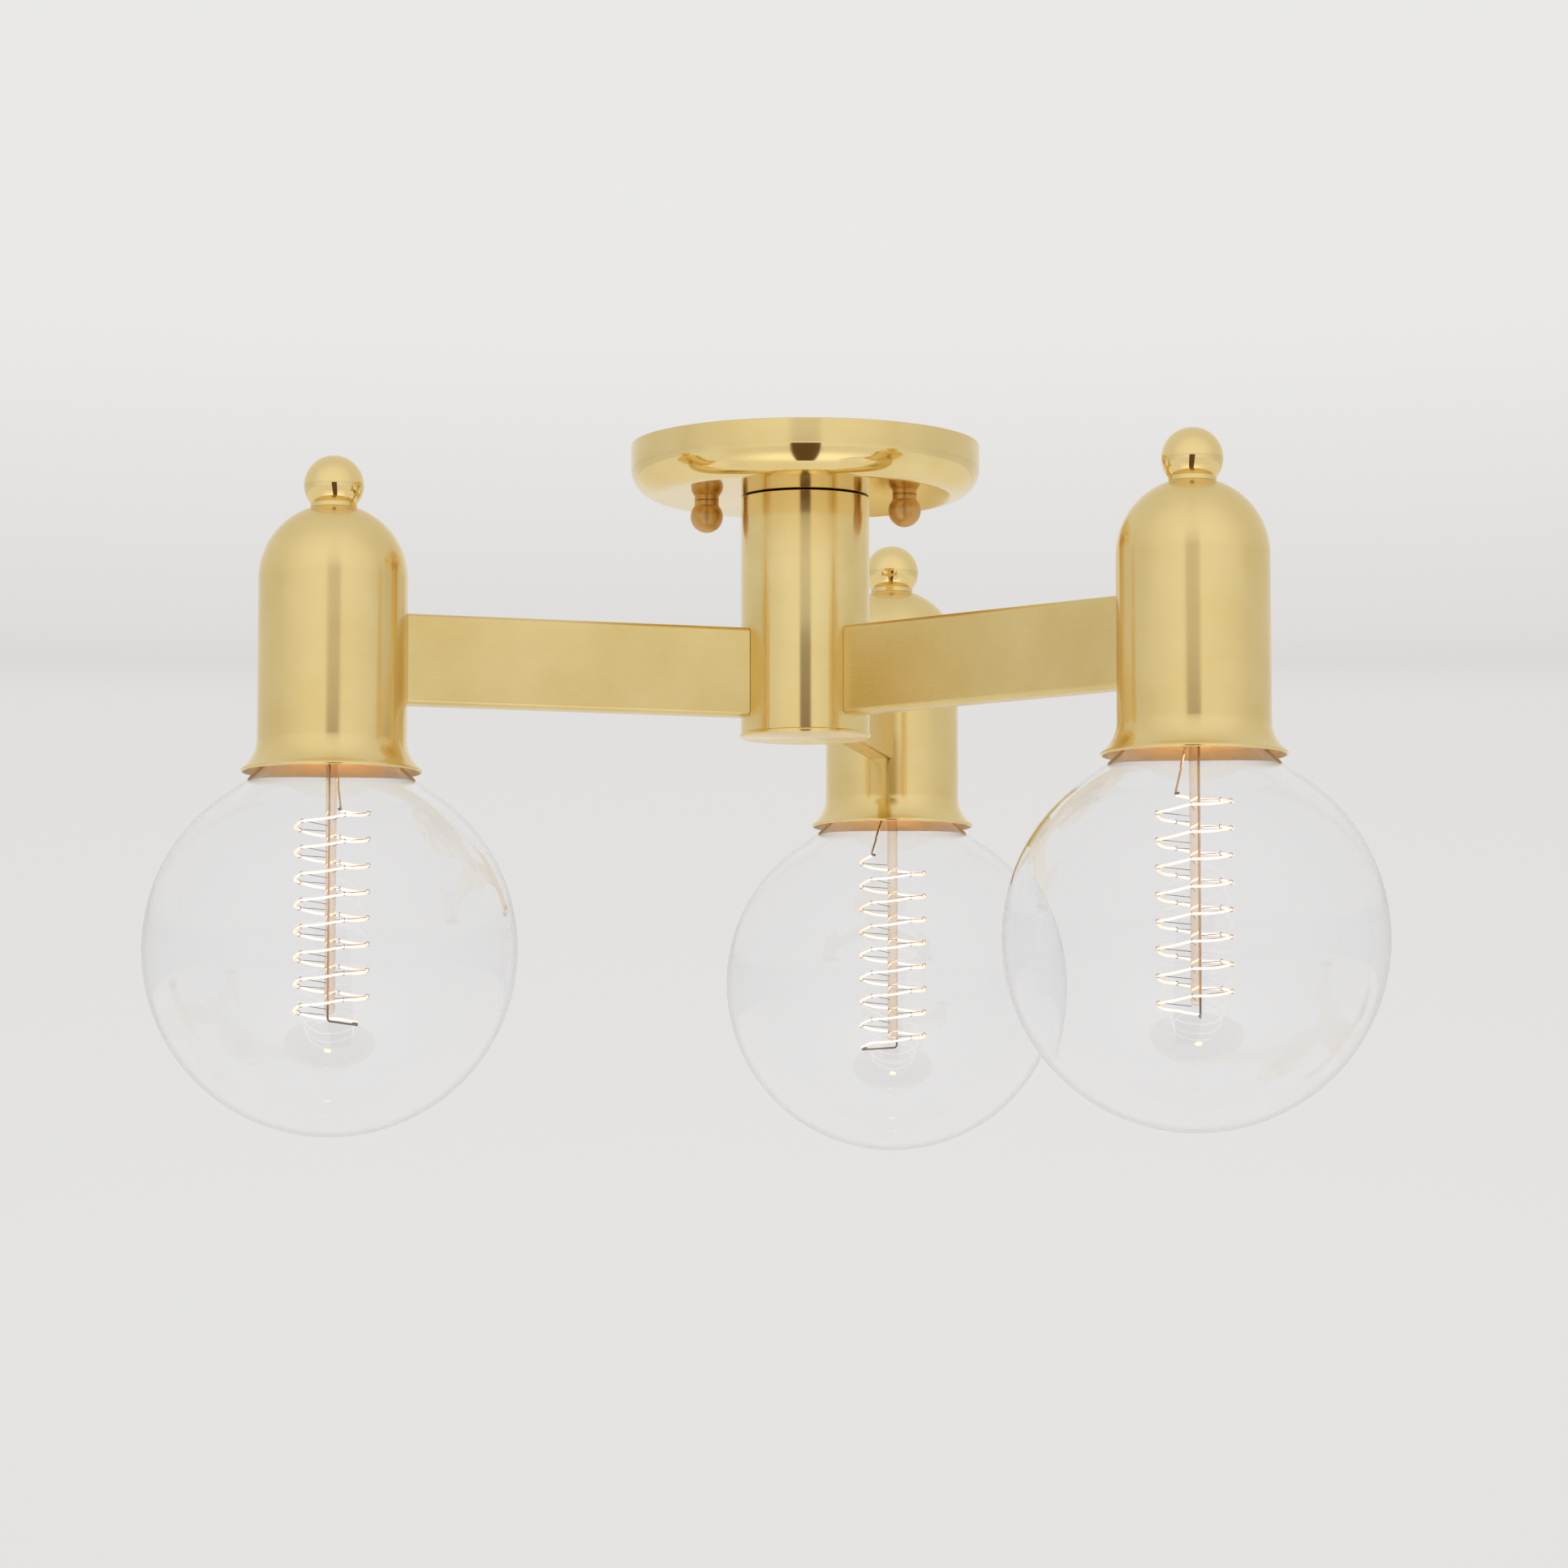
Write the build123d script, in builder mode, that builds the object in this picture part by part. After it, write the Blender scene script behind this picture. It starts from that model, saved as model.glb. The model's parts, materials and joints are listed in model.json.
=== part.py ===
"""Semi flush ceiling light with three arms, spun brass bells and clear globe bulbs.

The origin is the centre of the canopy's rim, in the plane of the ceiling, and the light
hangs below it. +Z points up into the ceiling and +Y along the rear arm. Lengths are in mm.
Each lamp is made once on the Z axis, with +X pointing away from the column, and then
placed at the end of its arm.
"""

import os
from math import acos, asin, ceil, cos, degrees, pi, radians, sin, sqrt

from build123d import *

os.makedirs("parts", exist_ok=True)

# ---- clearances -------------------------------------------------------------------------
thread_clearance = 0.05  # between a screwed or pressed piece and its bore, on the radius
joint_gap = 0.1  # hairline between an arm and what it is screwed against
screw_shell_clearance = 0.3  # between the bulb's cap and the socket's shell, on the radius
contact_gap = 0.3  # between the bulb's tip and the socket's centre contact

# ---- canopy and what hangs it from the ceiling box --------------------------------------
canopy_radius = 60.325
canopy_height = 18.2
canopy_wall = 1.2
canopy_corner = 10.0
canopy_chords = 6
stud_spacing = 69.85
stud_radius = 2.08
stud_hole_clearance = 0.4
strap_width = 20.0
strap_thickness = 2.0
box_strap_length = 105.0
canopy_strap_length = 92.0
box_screw_spacing_small = 69.85
box_screw_spacing_large = 88.9
box_screw_radius = 2.4
rivet_radius = 3.0
rivet_bore = 1.8
rivet_head_radius = 5.0
rivet_head_height = 1.0
ground_screw_offset = 19.0
ground_screw_radius = 2.0
ground_screw_head_width = 8.0
ground_screw_head_height = 2.6
lock_nut_width = 8.7
lock_nut_height = 3.2
ball_nut_radius = 5.65
ball_nut_collar_radius = 3.4
ball_nut_collar_height = 1.0
ball_nut_thread_depth = 6.5
ball_nut_chords = 9

# ---- threaded pipe, nuts and the shadow gap between canopy and column -------------------
pipe_radius = 4.76
pipe_bore = 3.3
pipe_nut_width = 15.9
pipe_nut_height = 4.0
canopy_washer_radius = 10.0
canopy_washer_thickness = 1.2
pipe_spare_length = 1.0
shadow_gap = 0.4
gap_ring_radius = 15.0

# ---- column -----------------------------------------------------------------------------
column_radius = 22.225
column_wall = 1.5
column_length = 81.9
top_plate_thickness = 4.0
cap_lip = 0.4
cap_thickness = 1.4
cap_register_height = 6.0
cap_register_wall = 1.5

# ---- arms -------------------------------------------------------------------------------
arm_count = 3
rear_arm_angle = 90.0
arm_reach = 167.0
arm_drop = 61.4  # from the column's top down to the middle of the arm
arm_height = 30.6
arm_width = 10.0
arm_wall = 1.5
arm_edge = 1.8
arm_end_block = 8.0
wire_passage_radius = 3.6
arm_screw_pitch = 19.0
arm_screw_radius = 2.0
arm_screw_engagement = 7.0
arm_screw_head_radius = 3.6
arm_screw_head_height = 2.4
arm_screw_clearance = 0.3

# ---- bell -------------------------------------------------------------------------------
bell_radius = 25.0
bell_wall = 1.2
bell_seat_radius = 7.9
bell_tube_length = 54.3
bell_rim_below_arm = 37.8
flare_radius = 12.2
flare_angle = 55.0
dome_chords = 5
flare_chords = 4

# ---- ball finial ------------------------------------------------------------------------
finial_ball_radius = 10.1
finial_disc_height = 1.6
finial_thread_depth = 9.0

# ---- socket -----------------------------------------------------------------------------
socket_radius = 17.0
socket_height = 39.0
socket_top_thickness = 9.0
socket_shell_wall = 0.4
socket_shell_height = 26.0
socket_shell_inset = 3.0
socket_edge = 1.5
socket_contact_radius = 4.0
socket_contact_thickness = 0.6
bell_nut_boss_radius = 7.0
bell_nut_boss_height = 1.5
pipe_in_socket = 4.0
pipe_in_finial = 5.0

# ---- bulb -------------------------------------------------------------------------------
globe_radius = 62.5
glass_wall = 0.9
globe_sides = 36
globe_bands = 10
globe_pole_angle = 86.0
neck_start_angle = 57.5
neck_radius = 11.4
cement_height = 3.0
neck_bands = 4
screw_cap_radius = 13.1
screw_cap_wall = 0.35
screw_cap_height = 22.8
screw_cap_above_rim = 24.0
neck_bend_in_cap = 8.94
neck_in_cap = 12.0
insulator_height = 2.8
insulator_top_radius = 6.0
tip_radius = 4.75
tip_height = 1.3

stem_wall = 1.0
stem_skirt_height = 9.0
stem_tube_radius = 4.4
stem_tube_length = 6.0
press_width = 10.0
press_thickness = 3.8
press_height = 8.0
rod_radius = 1.8
rod_end_above_coil_end = 2.0

filament_radius = 12.4
filament_pitch = 8.8
filament_turns = 8.1
filament_wire_radius = 0.6
filament_wire_sides = 3
filament_below_rim = 12.4
biarcs_per_turn = 2
filament_gap_samples = 900

bulb_lead_radius = 0.35
bulb_lead_sides = 6
bulb_lead_bend = 1.2
bulb_lead_offset = 2.5
bulb_lead_below_cap_top = 4.0
bulb_turn = {"rear": 242.0, "left": 92.0, "right": 127.0}  # of the coil's upper end, from +X

# ---- wiring -----------------------------------------------------------------------------
wire_radius = 1.1
wire_sides = 8
wire_half_pitch = 1.6
wire_grip = 3.0
supply_wire_half_pitch = 1.5
terminal_offset = 9.0
terminal_side = 5.0
terminal_depth = 2.0
lead_bend = 3.0
lead_to_socket_gap = 1.33
lead_bend_above_socket = 6.0
supply_lead_level = -7.2
wire_nut_level = -11.0
terminal_block_width = 16.0
terminal_block_height = 14.0
terminal_block_edge = 0.8
wire_nut_radius = 5.2
wire_nut_tip_radius = 3.4
wire_nut_length = 16.0
wire_nut_spacing = 17.0
wire_nut_distance = 26.0
wire_nut_grip = 9.0
wire_nut_ribs = 12


# ---- heights worked out from the sizes above --------------------------------------------
underside = -canopy_height
canopy_floor = underside + canopy_wall
column_top = underside - shadow_gap
column_bottom = column_top - column_length
column_bore = column_radius - column_wall
plate_bottom = column_top - top_plate_thickness
arm_level = column_top - arm_drop
bell_rim = arm_level - bell_rim_below_arm
bell_bore = bell_radius - bell_wall
flare_height = flare_radius * sin(radians(flare_angle))
tube_bottom = bell_rim + flare_height
dome_centre = tube_bottom + bell_tube_length
seat_angle = degrees(acos(bell_seat_radius / bell_radius))
seat_height = dome_centre + sqrt(bell_radius**2 - bell_seat_radius**2)
cap_bottom = bell_rim + screw_cap_above_rim
screw_bore = screw_cap_radius + screw_shell_clearance
strap_floor = -2 * strap_thickness
stud_bottom = underside - ball_nut_thread_depth + thread_clearance
thread_bore = pipe_radius + thread_clearance

lamp_axis = Axis.Z
lamp_angles = {"rear": rear_arm_angle, "left": rear_arm_angle + 120, "right": rear_arm_angle + 240}
lamp_places = PolarLocations(arm_reach, arm_count, rear_arm_angle).locations
pieces = {}


def keep(name, piece):
    """Files a finished piece under the name that its node gets."""
    piece.part.label = name
    pieces[name] = piece


def at_each_lamp(piece):
    """The same piece at all three lamps, as one group of separate solids."""
    with BuildPart() as group:
        with PolarLocations(arm_reach, arm_count, rear_arm_angle):
            add(piece.part)
    return group


def at_one_lamp(piece, place):
    """One copy of a lamp's piece at the end of its arm."""
    with BuildPart() as copy:
        with Locations(place):
            add(piece.part)
    return copy


def arc_points(centre, radius, start, end, count):
    """Points on an arc in the plane of (radius from the axis, height); angles in degrees."""
    steps = [radians(start + (end - start) * i / count) for i in range(count + 1)]
    return [(centre[0] + radius * cos(a), centre[1] + radius * sin(a)) for a in steps]


# ---- ceiling straps ---------------------------------------------------------------------
slot_centres = (box_screw_spacing_small + box_screw_spacing_large) / 2
slot_length = (box_screw_spacing_large - box_screw_spacing_small) / 2 + 2 * box_screw_radius

with BuildPart() as box_strap:
    with BuildSketch(Plane.XY.offset(-strap_thickness)):
        RectangleRounded(strap_width, box_strap_length, strap_width / 4)
        with Locations((0, slot_centres / 2), (0, -slot_centres / 2)):
            SlotOverall(slot_length, 2 * box_screw_radius, rotation=90, mode=Mode.SUBTRACT)
        Circle(rivet_radius + thread_clearance, mode=Mode.SUBTRACT)
    extrude(amount=strap_thickness)
keep("box_strap", box_strap)

stud_places = [(stud_spacing / 2, 0), (-stud_spacing / 2, 0)]
with BuildPart() as canopy_strap:
    with BuildSketch(Plane.XY.offset(strap_floor)):
        RectangleRounded(canopy_strap_length, strap_width, strap_width / 4)
        with Locations(*stud_places):
            Circle(stud_radius + thread_clearance, mode=Mode.SUBTRACT)
        with Locations((ground_screw_offset, 0)):
            Circle(ground_screw_radius + thread_clearance, mode=Mode.SUBTRACT)
        Circle(rivet_radius + thread_clearance, mode=Mode.SUBTRACT)
    extrude(amount=strap_thickness)
keep("canopy_strap", canopy_strap)

with BuildPart() as strap_rivet:
    with BuildSketch(Plane.XY.offset(strap_floor)):
        Circle(rivet_radius)
    extrude(amount=2 * strap_thickness)
    with BuildSketch(Plane.XY.offset(strap_floor)):
        Circle(rivet_head_radius)
    extrude(amount=-rivet_head_height)
    with BuildSketch(Plane.XY):
        Circle(rivet_bore)
    extrude(amount=-2 * strap_thickness - rivet_head_height, mode=Mode.SUBTRACT)
keep("strap_rivet", strap_rivet)

with BuildPart() as ground_screw:
    with BuildSketch(Plane.XY.offset(strap_floor)):
        with Locations((ground_screw_offset, 0)):
            RegularPolygon(ground_screw_head_width / 2, 6, major_radius=False)
    extrude(amount=-ground_screw_head_height)
    with BuildSketch(Plane.XY.offset(strap_floor)):
        with Locations((ground_screw_offset, 0)):
            Circle(ground_screw_radius)
    extrude(amount=strap_thickness)
keep("ground_screw", ground_screw)

with BuildPart() as canopy_studs:
    with BuildSketch(Plane.XY.offset(stud_bottom)):
        with Locations(*stud_places):
            Circle(stud_radius)
    extrude(amount=-strap_thickness - stud_bottom)
    chamfer(canopy_studs.faces().sort_by(Axis.Z)[:2].edges(), stud_radius / 4)
keep("canopy_studs", canopy_studs)

with BuildPart() as stud_lock_nuts:
    with BuildSketch(Plane.XY.offset(strap_floor)):
        with Locations(*stud_places):
            RegularPolygon(lock_nut_width / 2, 6, major_radius=False)
            Circle(stud_radius + thread_clearance, mode=Mode.SUBTRACT)
    extrude(amount=-lock_nut_height)
keep("stud_lock_nuts", stud_lock_nuts)

# ---- canopy: a spun dish with a flat polished underside ---------------------------------
corner_centre = (canopy_radius - canopy_corner, underside + canopy_corner)
with BuildPart() as canopy:
    with BuildSketch(Plane.XZ):
        Polygon(
            (thread_bore, underside),
            *arc_points(corner_centre, canopy_corner, -90, 0, canopy_chords),
            (canopy_radius, 0),
            (canopy_radius - canopy_wall, 0),
            *arc_points(corner_centre, canopy_corner - canopy_wall, 0, -90, canopy_chords),
            (thread_bore, canopy_floor),
            align=None,
        )
    revolve(axis=lamp_axis)
    with BuildSketch(Plane.XY):
        with Locations(*stud_places):
            Circle(stud_radius + stud_hole_clearance)
    extrude(amount=-canopy_height, mode=Mode.SUBTRACT)
keep("canopy", canopy)

collar_angle = degrees(acos(ball_nut_collar_radius / ball_nut_radius))
ball_centre = underside - ball_nut_collar_height - ball_nut_radius * sin(radians(collar_angle))
with BuildPart() as ball_nut:
    with BuildSketch(Plane.XZ):
        Polygon(
            (0, underside - ball_nut_thread_depth),
            (stud_radius + thread_clearance, underside - ball_nut_thread_depth),
            (stud_radius + thread_clearance, underside),
            (ball_nut_collar_radius, underside),
            *arc_points((0, ball_centre), ball_nut_radius, collar_angle, -90, ball_nut_chords),
            align=None,
        )
    revolve(axis=lamp_axis)

with BuildPart() as canopy_ball_nuts:
    with Locations(*stud_places):
        add(ball_nut.part)
keep("canopy_ball_nuts", canopy_ball_nuts)

# ---- threaded pipe that carries the column from the canopy ------------------------------
washer_top = canopy_floor + canopy_washer_thickness
pipe_top = washer_top + pipe_nut_height + pipe_spare_length
pipe_bottom = plate_bottom - pipe_nut_height - pipe_spare_length

with BuildPart() as column_pipe:
    with BuildSketch(Plane.XY.offset(pipe_bottom)):
        Circle(pipe_radius)
        Circle(pipe_bore, mode=Mode.SUBTRACT)
    extrude(amount=pipe_top - pipe_bottom)
keep("column_pipe", column_pipe)

with BuildPart() as canopy_washer:
    with BuildSketch(Plane.XY.offset(canopy_floor)):
        Circle(canopy_washer_radius)
        Circle(thread_bore, mode=Mode.SUBTRACT)
    extrude(amount=canopy_washer_thickness)
keep("canopy_washer", canopy_washer)

with BuildPart() as column_pipe_nuts:
    for seat, height in ((washer_top, pipe_nut_height), (plate_bottom, -pipe_nut_height)):
        with BuildSketch(Plane.XY.offset(seat)):
            RegularPolygon(pipe_nut_width / 2, 6, major_radius=False)
            Circle(thread_bore, mode=Mode.SUBTRACT)
        extrude(amount=height)
keep("column_pipe_nuts", column_pipe_nuts)

with BuildPart() as shadow_gap_ring:
    with BuildSketch(Plane.XY.offset(column_top)):
        Circle(gap_ring_radius)
        Circle(thread_bore, mode=Mode.SUBTRACT)
    extrude(amount=shadow_gap)
keep("shadow_gap_ring", shadow_gap_ring)

# ---- column: a brass tube with a screwed top plate and a pressed bottom cap -------------
arm_directions = [rear_arm_angle + 360 / arm_count * i for i in range(arm_count)]
screw_heights = [arm_level + arm_screw_pitch / 2, arm_level - arm_screw_pitch / 2]

with BuildPart() as column:
    with BuildSketch(Plane.XY.offset(column_bottom)):
        Circle(column_radius)
        Circle(column_bore, mode=Mode.SUBTRACT)
    extrude(amount=column_length)
    for direction in arm_directions:
        across = (cos(radians(direction)), sin(radians(direction)), 0)
        for height, radius in (
            (arm_level, wire_passage_radius),
            *[(h, arm_screw_radius + arm_screw_clearance) for h in screw_heights],
        ):
            with BuildSketch(Plane(origin=(0, 0, height), z_dir=across)):
                Circle(radius)
            extrude(amount=column_radius + joint_gap, mode=Mode.SUBTRACT)
keep("column", column)

with BuildPart() as column_top_plate:
    with BuildSketch(Plane.XY.offset(column_top)):
        Circle(column_bore - thread_clearance)
        Circle(thread_bore, mode=Mode.SUBTRACT)
    extrude(amount=-top_plate_thickness)
keep("column_top_plate", column_top_plate)

with BuildPart() as column_bottom_cap:
    with BuildSketch(Plane.XY.offset(column_bottom)):
        Circle(column_radius + cap_lip)
    extrude(amount=-cap_thickness)
    chamfer(column_bottom_cap.faces().sort_by(Axis.Z)[0].edges(), cap_lip)
    with BuildSketch(Plane.XY.offset(column_bottom)):
        Circle(column_bore - thread_clearance)
        Circle(column_bore - thread_clearance - cap_register_wall, mode=Mode.SUBTRACT)
    extrude(amount=cap_register_height)
keep("column_bottom_cap", column_bottom_cap)

# ---- arms: flat rectangular tube, coped to the column and to the bell -------------------
arm_start = column_radius + joint_gap
arm_end = arm_reach - bell_radius - joint_gap
cavity_start = arm_start + arm_end_block
cavity_end = arm_end - arm_end_block

with BuildPart() as arm:
    with BuildSketch(Plane.YZ):
        with Locations((0, arm_level)):
            RectangleRounded(arm_width, arm_height, arm_edge)
    extrude(amount=arm_reach)
    with BuildSketch(Plane.YZ.offset(cavity_start)):
        with Locations((0, arm_level)):
            Rectangle(arm_width - 2 * arm_wall, arm_height - 2 * arm_wall)
    extrude(amount=cavity_end - cavity_start, mode=Mode.SUBTRACT)
    with BuildSketch(Plane.YZ):
        with Locations((0, arm_level)):
            Circle(wire_passage_radius)
        with Locations(*[(0, height) for height in screw_heights]):
            Circle(arm_screw_radius + thread_clearance)
    extrude(amount=arm_reach, mode=Mode.SUBTRACT)
    with Locations((0, 0, arm_level)):
        Cylinder(arm_start, 2 * arm_height, mode=Mode.SUBTRACT)
    with Locations((arm_reach, 0, arm_level)):
        Cylinder(bell_radius + joint_gap, 2 * arm_height, mode=Mode.SUBTRACT)
for name, direction in lamp_angles.items():
    with BuildPart() as placed_arm:
        with Locations(Location((0, 0, 0), (0, 0, direction))):
            add(arm.part)
    keep(f"arm_{name}", placed_arm)

# Pan-head screws pass through the wall of the column or the bell into the arm's end block.
column_head_seat = sqrt(column_bore**2 - arm_screw_head_radius**2)
bell_head_seat = arm_reach - sqrt(bell_bore**2 - arm_screw_head_radius**2)

for name, seat, tip in (
    ("column_arm_screws", column_head_seat, arm_start + arm_screw_engagement),
    ("bell_arm_screws", bell_head_seat, arm_end - arm_screw_engagement),
):
    inward = 1 if tip < seat else -1
    with BuildPart() as screw_pair:
        for height in screw_heights:
            with BuildSketch(Plane.YZ.offset(tip)):
                with Locations((0, height)):
                    Circle(arm_screw_radius)
            extrude(amount=seat - tip)
            with BuildSketch(Plane.YZ.offset(seat)):
                with Locations((0, height)):
                    Circle(arm_screw_head_radius)
            extrude(amount=inward * arm_screw_head_height)
    with BuildPart() as screws:
        with PolarLocations(0, arm_count, rear_arm_angle):
            add(screw_pair.part)
    keep(name, screws)

# ---- bells: spun brass, a dome, a straight tube and a trumpet mouth ---------------------
flare_centre = (bell_radius + flare_radius, tube_bottom)
flare_end = 180 + flare_angle
inner_seat_height = seat_height - bell_wall
inner_seat_angle = degrees(asin((inner_seat_height - dome_centre) / bell_bore))

with BuildPart() as bell:
    with BuildSketch(Plane.XZ):
        Polygon(
            (thread_bore, seat_height),
            *arc_points((0, dome_centre), bell_radius, seat_angle, 0, dome_chords),
            *arc_points(flare_centre, flare_radius, 180, flare_end, flare_chords),
            *arc_points(flare_centre, flare_radius + bell_wall, flare_end, 180, flare_chords),
            *arc_points((0, dome_centre), bell_bore, 0, inner_seat_angle, dome_chords),
            (thread_bore, inner_seat_height),
            align=None,
        )
    revolve(axis=lamp_axis)
    for height, radius in (
        (arm_level, wire_passage_radius),
        *[(h, arm_screw_radius + arm_screw_clearance) for h in screw_heights],
    ):
        with BuildSketch(Plane.YZ):
            with Locations((0, height)):
                Circle(radius)
        extrude(amount=-bell_radius - joint_gap, mode=Mode.SUBTRACT)
keep("bells", at_each_lamp(bell))

# ---- ball finials, the pipes that they screw on to, and the nuts inside the bells -------
finial_ball_centre = seat_height + finial_disc_height + sqrt(
    finial_ball_radius**2 - bell_seat_radius**2
)
with BuildPart() as finial:
    with Locations((0, 0, finial_ball_centre)):
        Sphere(finial_ball_radius)
    split(bisect_by=Plane.XY.offset(seat_height + finial_disc_height), keep=Keep.TOP)
    with BuildSketch(Plane.XY.offset(seat_height)):
        Circle(bell_seat_radius)
    extrude(amount=finial_disc_height)
    with BuildSketch(Plane.XY.offset(seat_height)):
        Circle(thread_bore)
    extrude(amount=finial_thread_depth, mode=Mode.SUBTRACT)
keep("bell_finials", at_each_lamp(finial))

tip_top = cap_bottom + screw_cap_height + insulator_height + tip_height
socket_floor = tip_top + contact_gap + socket_contact_thickness
socket_top = socket_floor + socket_top_thickness
socket_mouth = socket_top - socket_height

with BuildPart() as bell_pipe:
    with BuildSketch(Plane.XY.offset(socket_top - pipe_in_socket)):
        Circle(pipe_radius)
        Circle(pipe_bore, mode=Mode.SUBTRACT)
    extrude(amount=seat_height + pipe_in_finial - socket_top + pipe_in_socket)
keep("bell_pipes", at_each_lamp(bell_pipe))

with BuildPart() as bell_nut:
    with BuildSketch(Plane.XY.offset(inner_seat_height)):
        Circle(bell_nut_boss_radius)
    extrude(amount=-bell_nut_boss_height)
    with BuildSketch(Plane.XY.offset(inner_seat_height - bell_nut_boss_height)):
        RegularPolygon(pipe_nut_width / 2, 6, major_radius=False)
    extrude(amount=-pipe_nut_height)
    with BuildSketch(Plane.XY.offset(inner_seat_height)):
        Circle(thread_bore)
    extrude(amount=-bell_nut_boss_height - pipe_nut_height, mode=Mode.SUBTRACT)
keep("bell_nuts", at_each_lamp(bell_nut))

# ---- sockets ----------------------------------------------------------------------------
shell_radius = screw_bore + socket_shell_wall
shell_top = socket_floor - socket_shell_inset

with BuildPart() as socket_body:
    with BuildSketch(Plane.XY.offset(socket_mouth)):
        Circle(socket_radius)
    extrude(amount=socket_height)
    chamfer(socket_body.faces().sort_by(Axis.Z)[-1].edges(), socket_edge)
    with BuildSketch(Plane.XY.offset(socket_mouth)):
        Circle(shell_radius + thread_clearance)
    extrude(amount=socket_floor - socket_mouth, mode=Mode.SUBTRACT)
    with BuildSketch(Plane.XY.offset(socket_top)):
        Circle(thread_bore)
    extrude(amount=-pipe_in_socket, mode=Mode.SUBTRACT)
    with BuildSketch(Plane.XY.offset(socket_top)):
        with Locations((-terminal_offset, terminal_side), (-terminal_offset, -terminal_side)):
            Circle(wire_radius + thread_clearance)
    extrude(amount=-terminal_depth, mode=Mode.SUBTRACT)
keep("socket_bodies", at_each_lamp(socket_body))

with BuildPart() as socket_shell:
    with BuildSketch(Plane.XY.offset(shell_top)):
        Circle(shell_radius)
        Circle(screw_bore, mode=Mode.SUBTRACT)
    extrude(amount=-socket_shell_height)
keep("socket_shells", at_each_lamp(socket_shell))

with BuildPart() as socket_contact:
    with BuildSketch(Plane.XY.offset(socket_floor)):
        Circle(socket_contact_radius)
    extrude(amount=-socket_contact_thickness)
keep("socket_contacts", at_each_lamp(socket_contact))

# ---- bulbs: blown globe, screw cap, insulator and tip -----------------------------------
neck_cosine = cos(radians(neck_start_angle))
neck_bend = (globe_radius * neck_cosine - neck_radius) / (1 - neck_cosine)
neck_centre = ((globe_radius + neck_bend) * neck_cosine, cap_bottom + neck_bend_in_cap)
globe_centre = neck_centre[1] - (globe_radius + neck_bend) * sin(radians(neck_start_angle))
neck_top = cap_bottom + neck_in_cap
cap_top = cap_bottom + screw_cap_height
insulator_top = cap_top + insulator_height
side_angles = [2 * pi * i / globe_sides for i in range(globe_sides)]


def glass_body(inset, top):
    """The flat-sided body of the globe and its neck, drawn in by the inset, up to the top."""
    ball = arc_points(
        (0, globe_centre), globe_radius - inset, -globe_pole_angle, neck_start_angle, globe_bands
    )
    bend = arc_points(neck_centre, neck_bend + inset, 180 + neck_start_angle, 180, neck_bands)
    layers = [ball, *zip(bend, bend[1:]), (bend[-1], (bend[-1][0], top))]
    with BuildPart() as body:
        for layer in layers:
            ConvexPolyhedron(
                [(r * cos(a), r * sin(a), height) for r, height in layer for a in side_angles]
            )
    return body


with BuildPart() as globe:
    add(glass_body(0, neck_top).part)
    add(glass_body(glass_wall, neck_top + glass_wall).part, mode=Mode.SUBTRACT)

with BuildPart() as screw_cap:
    with BuildSketch(Plane.XY.offset(cap_bottom)):
        Circle(screw_cap_radius)
        Circle(screw_cap_radius - screw_cap_wall, mode=Mode.SUBTRACT)
    extrude(amount=screw_cap_height)

with BuildPart() as base_cement:
    with BuildSketch(Plane.XY.offset(neck_top)):
        Circle(screw_cap_radius - screw_cap_wall - thread_clearance)
        Circle(neck_radius + thread_clearance, mode=Mode.SUBTRACT)
    extrude(amount=-cement_height)

with BuildPart() as base_insulator:
    with BuildSketch(Plane.XZ):
        Polygon(
            (0, cap_top),
            (screw_cap_radius - screw_cap_wall / 2, cap_top),
            (insulator_top_radius, insulator_top),
            (0, insulator_top),
            align=None,
        )
    revolve(axis=lamp_axis)
    with BuildSketch(Plane.XY.offset(cap_top)):
        with Locations((-bulb_lead_offset, 0)):
            Circle(bulb_lead_radius + thread_clearance)
    extrude(amount=insulator_height, mode=Mode.SUBTRACT)

with BuildPart() as base_tip:
    with BuildSketch(Plane.XY.offset(insulator_top)):
        Circle(tip_radius)
    extrude(amount=tip_height)
    chamfer(base_tip.faces().sort_by(Axis.Z)[-1].edges(), tip_height / 2)

# ---- inside the bulb: glass stem, coiled filament and its two lead wires ----------------
coil_top = bell_rim - filament_below_rim
coil_bottom = coil_top - filament_turns * filament_pitch
skirt_radius = (neck_radius - glass_wall) * cos(pi / globe_sides) - thread_clearance
skirt_top = neck_top - glass_wall
skirt_bottom = neck_centre[1]
tube_start = skirt_bottom - stem_skirt_height
tube_end = tube_start - stem_tube_length
press_end = tube_end - press_height
rod_end = coil_bottom + rod_end_above_coil_end

with BuildPart() as glass_stem:
    with BuildSketch(Plane.XZ):
        Polygon(
            (skirt_radius, skirt_top),
            (skirt_radius, skirt_bottom),
            (stem_tube_radius, tube_start),
            (stem_tube_radius, tube_end),
            (stem_tube_radius - stem_wall, tube_end),
            (stem_tube_radius - stem_wall, tube_start),
            (skirt_radius - stem_wall, skirt_bottom),
            (skirt_radius - stem_wall, skirt_top),
            align=None,
        )
    revolve(axis=lamp_axis)
    with BuildSketch(Plane.XY.offset(tube_end)):
        RectangleRounded(press_width, press_thickness, press_thickness / 4)
    extrude(amount=-press_height)
    with BuildSketch(Plane.XY.offset(tube_end)):
        with Locations((bulb_lead_offset, 0), (-bulb_lead_offset, 0)):
            Circle(bulb_lead_radius + thread_clearance)
    extrude(amount=-press_height, mode=Mode.SUBTRACT)
    with BuildSketch(Plane.XY.offset(press_end)):
        Circle(rod_radius)
    extrude(amount=rod_end - press_end)


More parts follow.
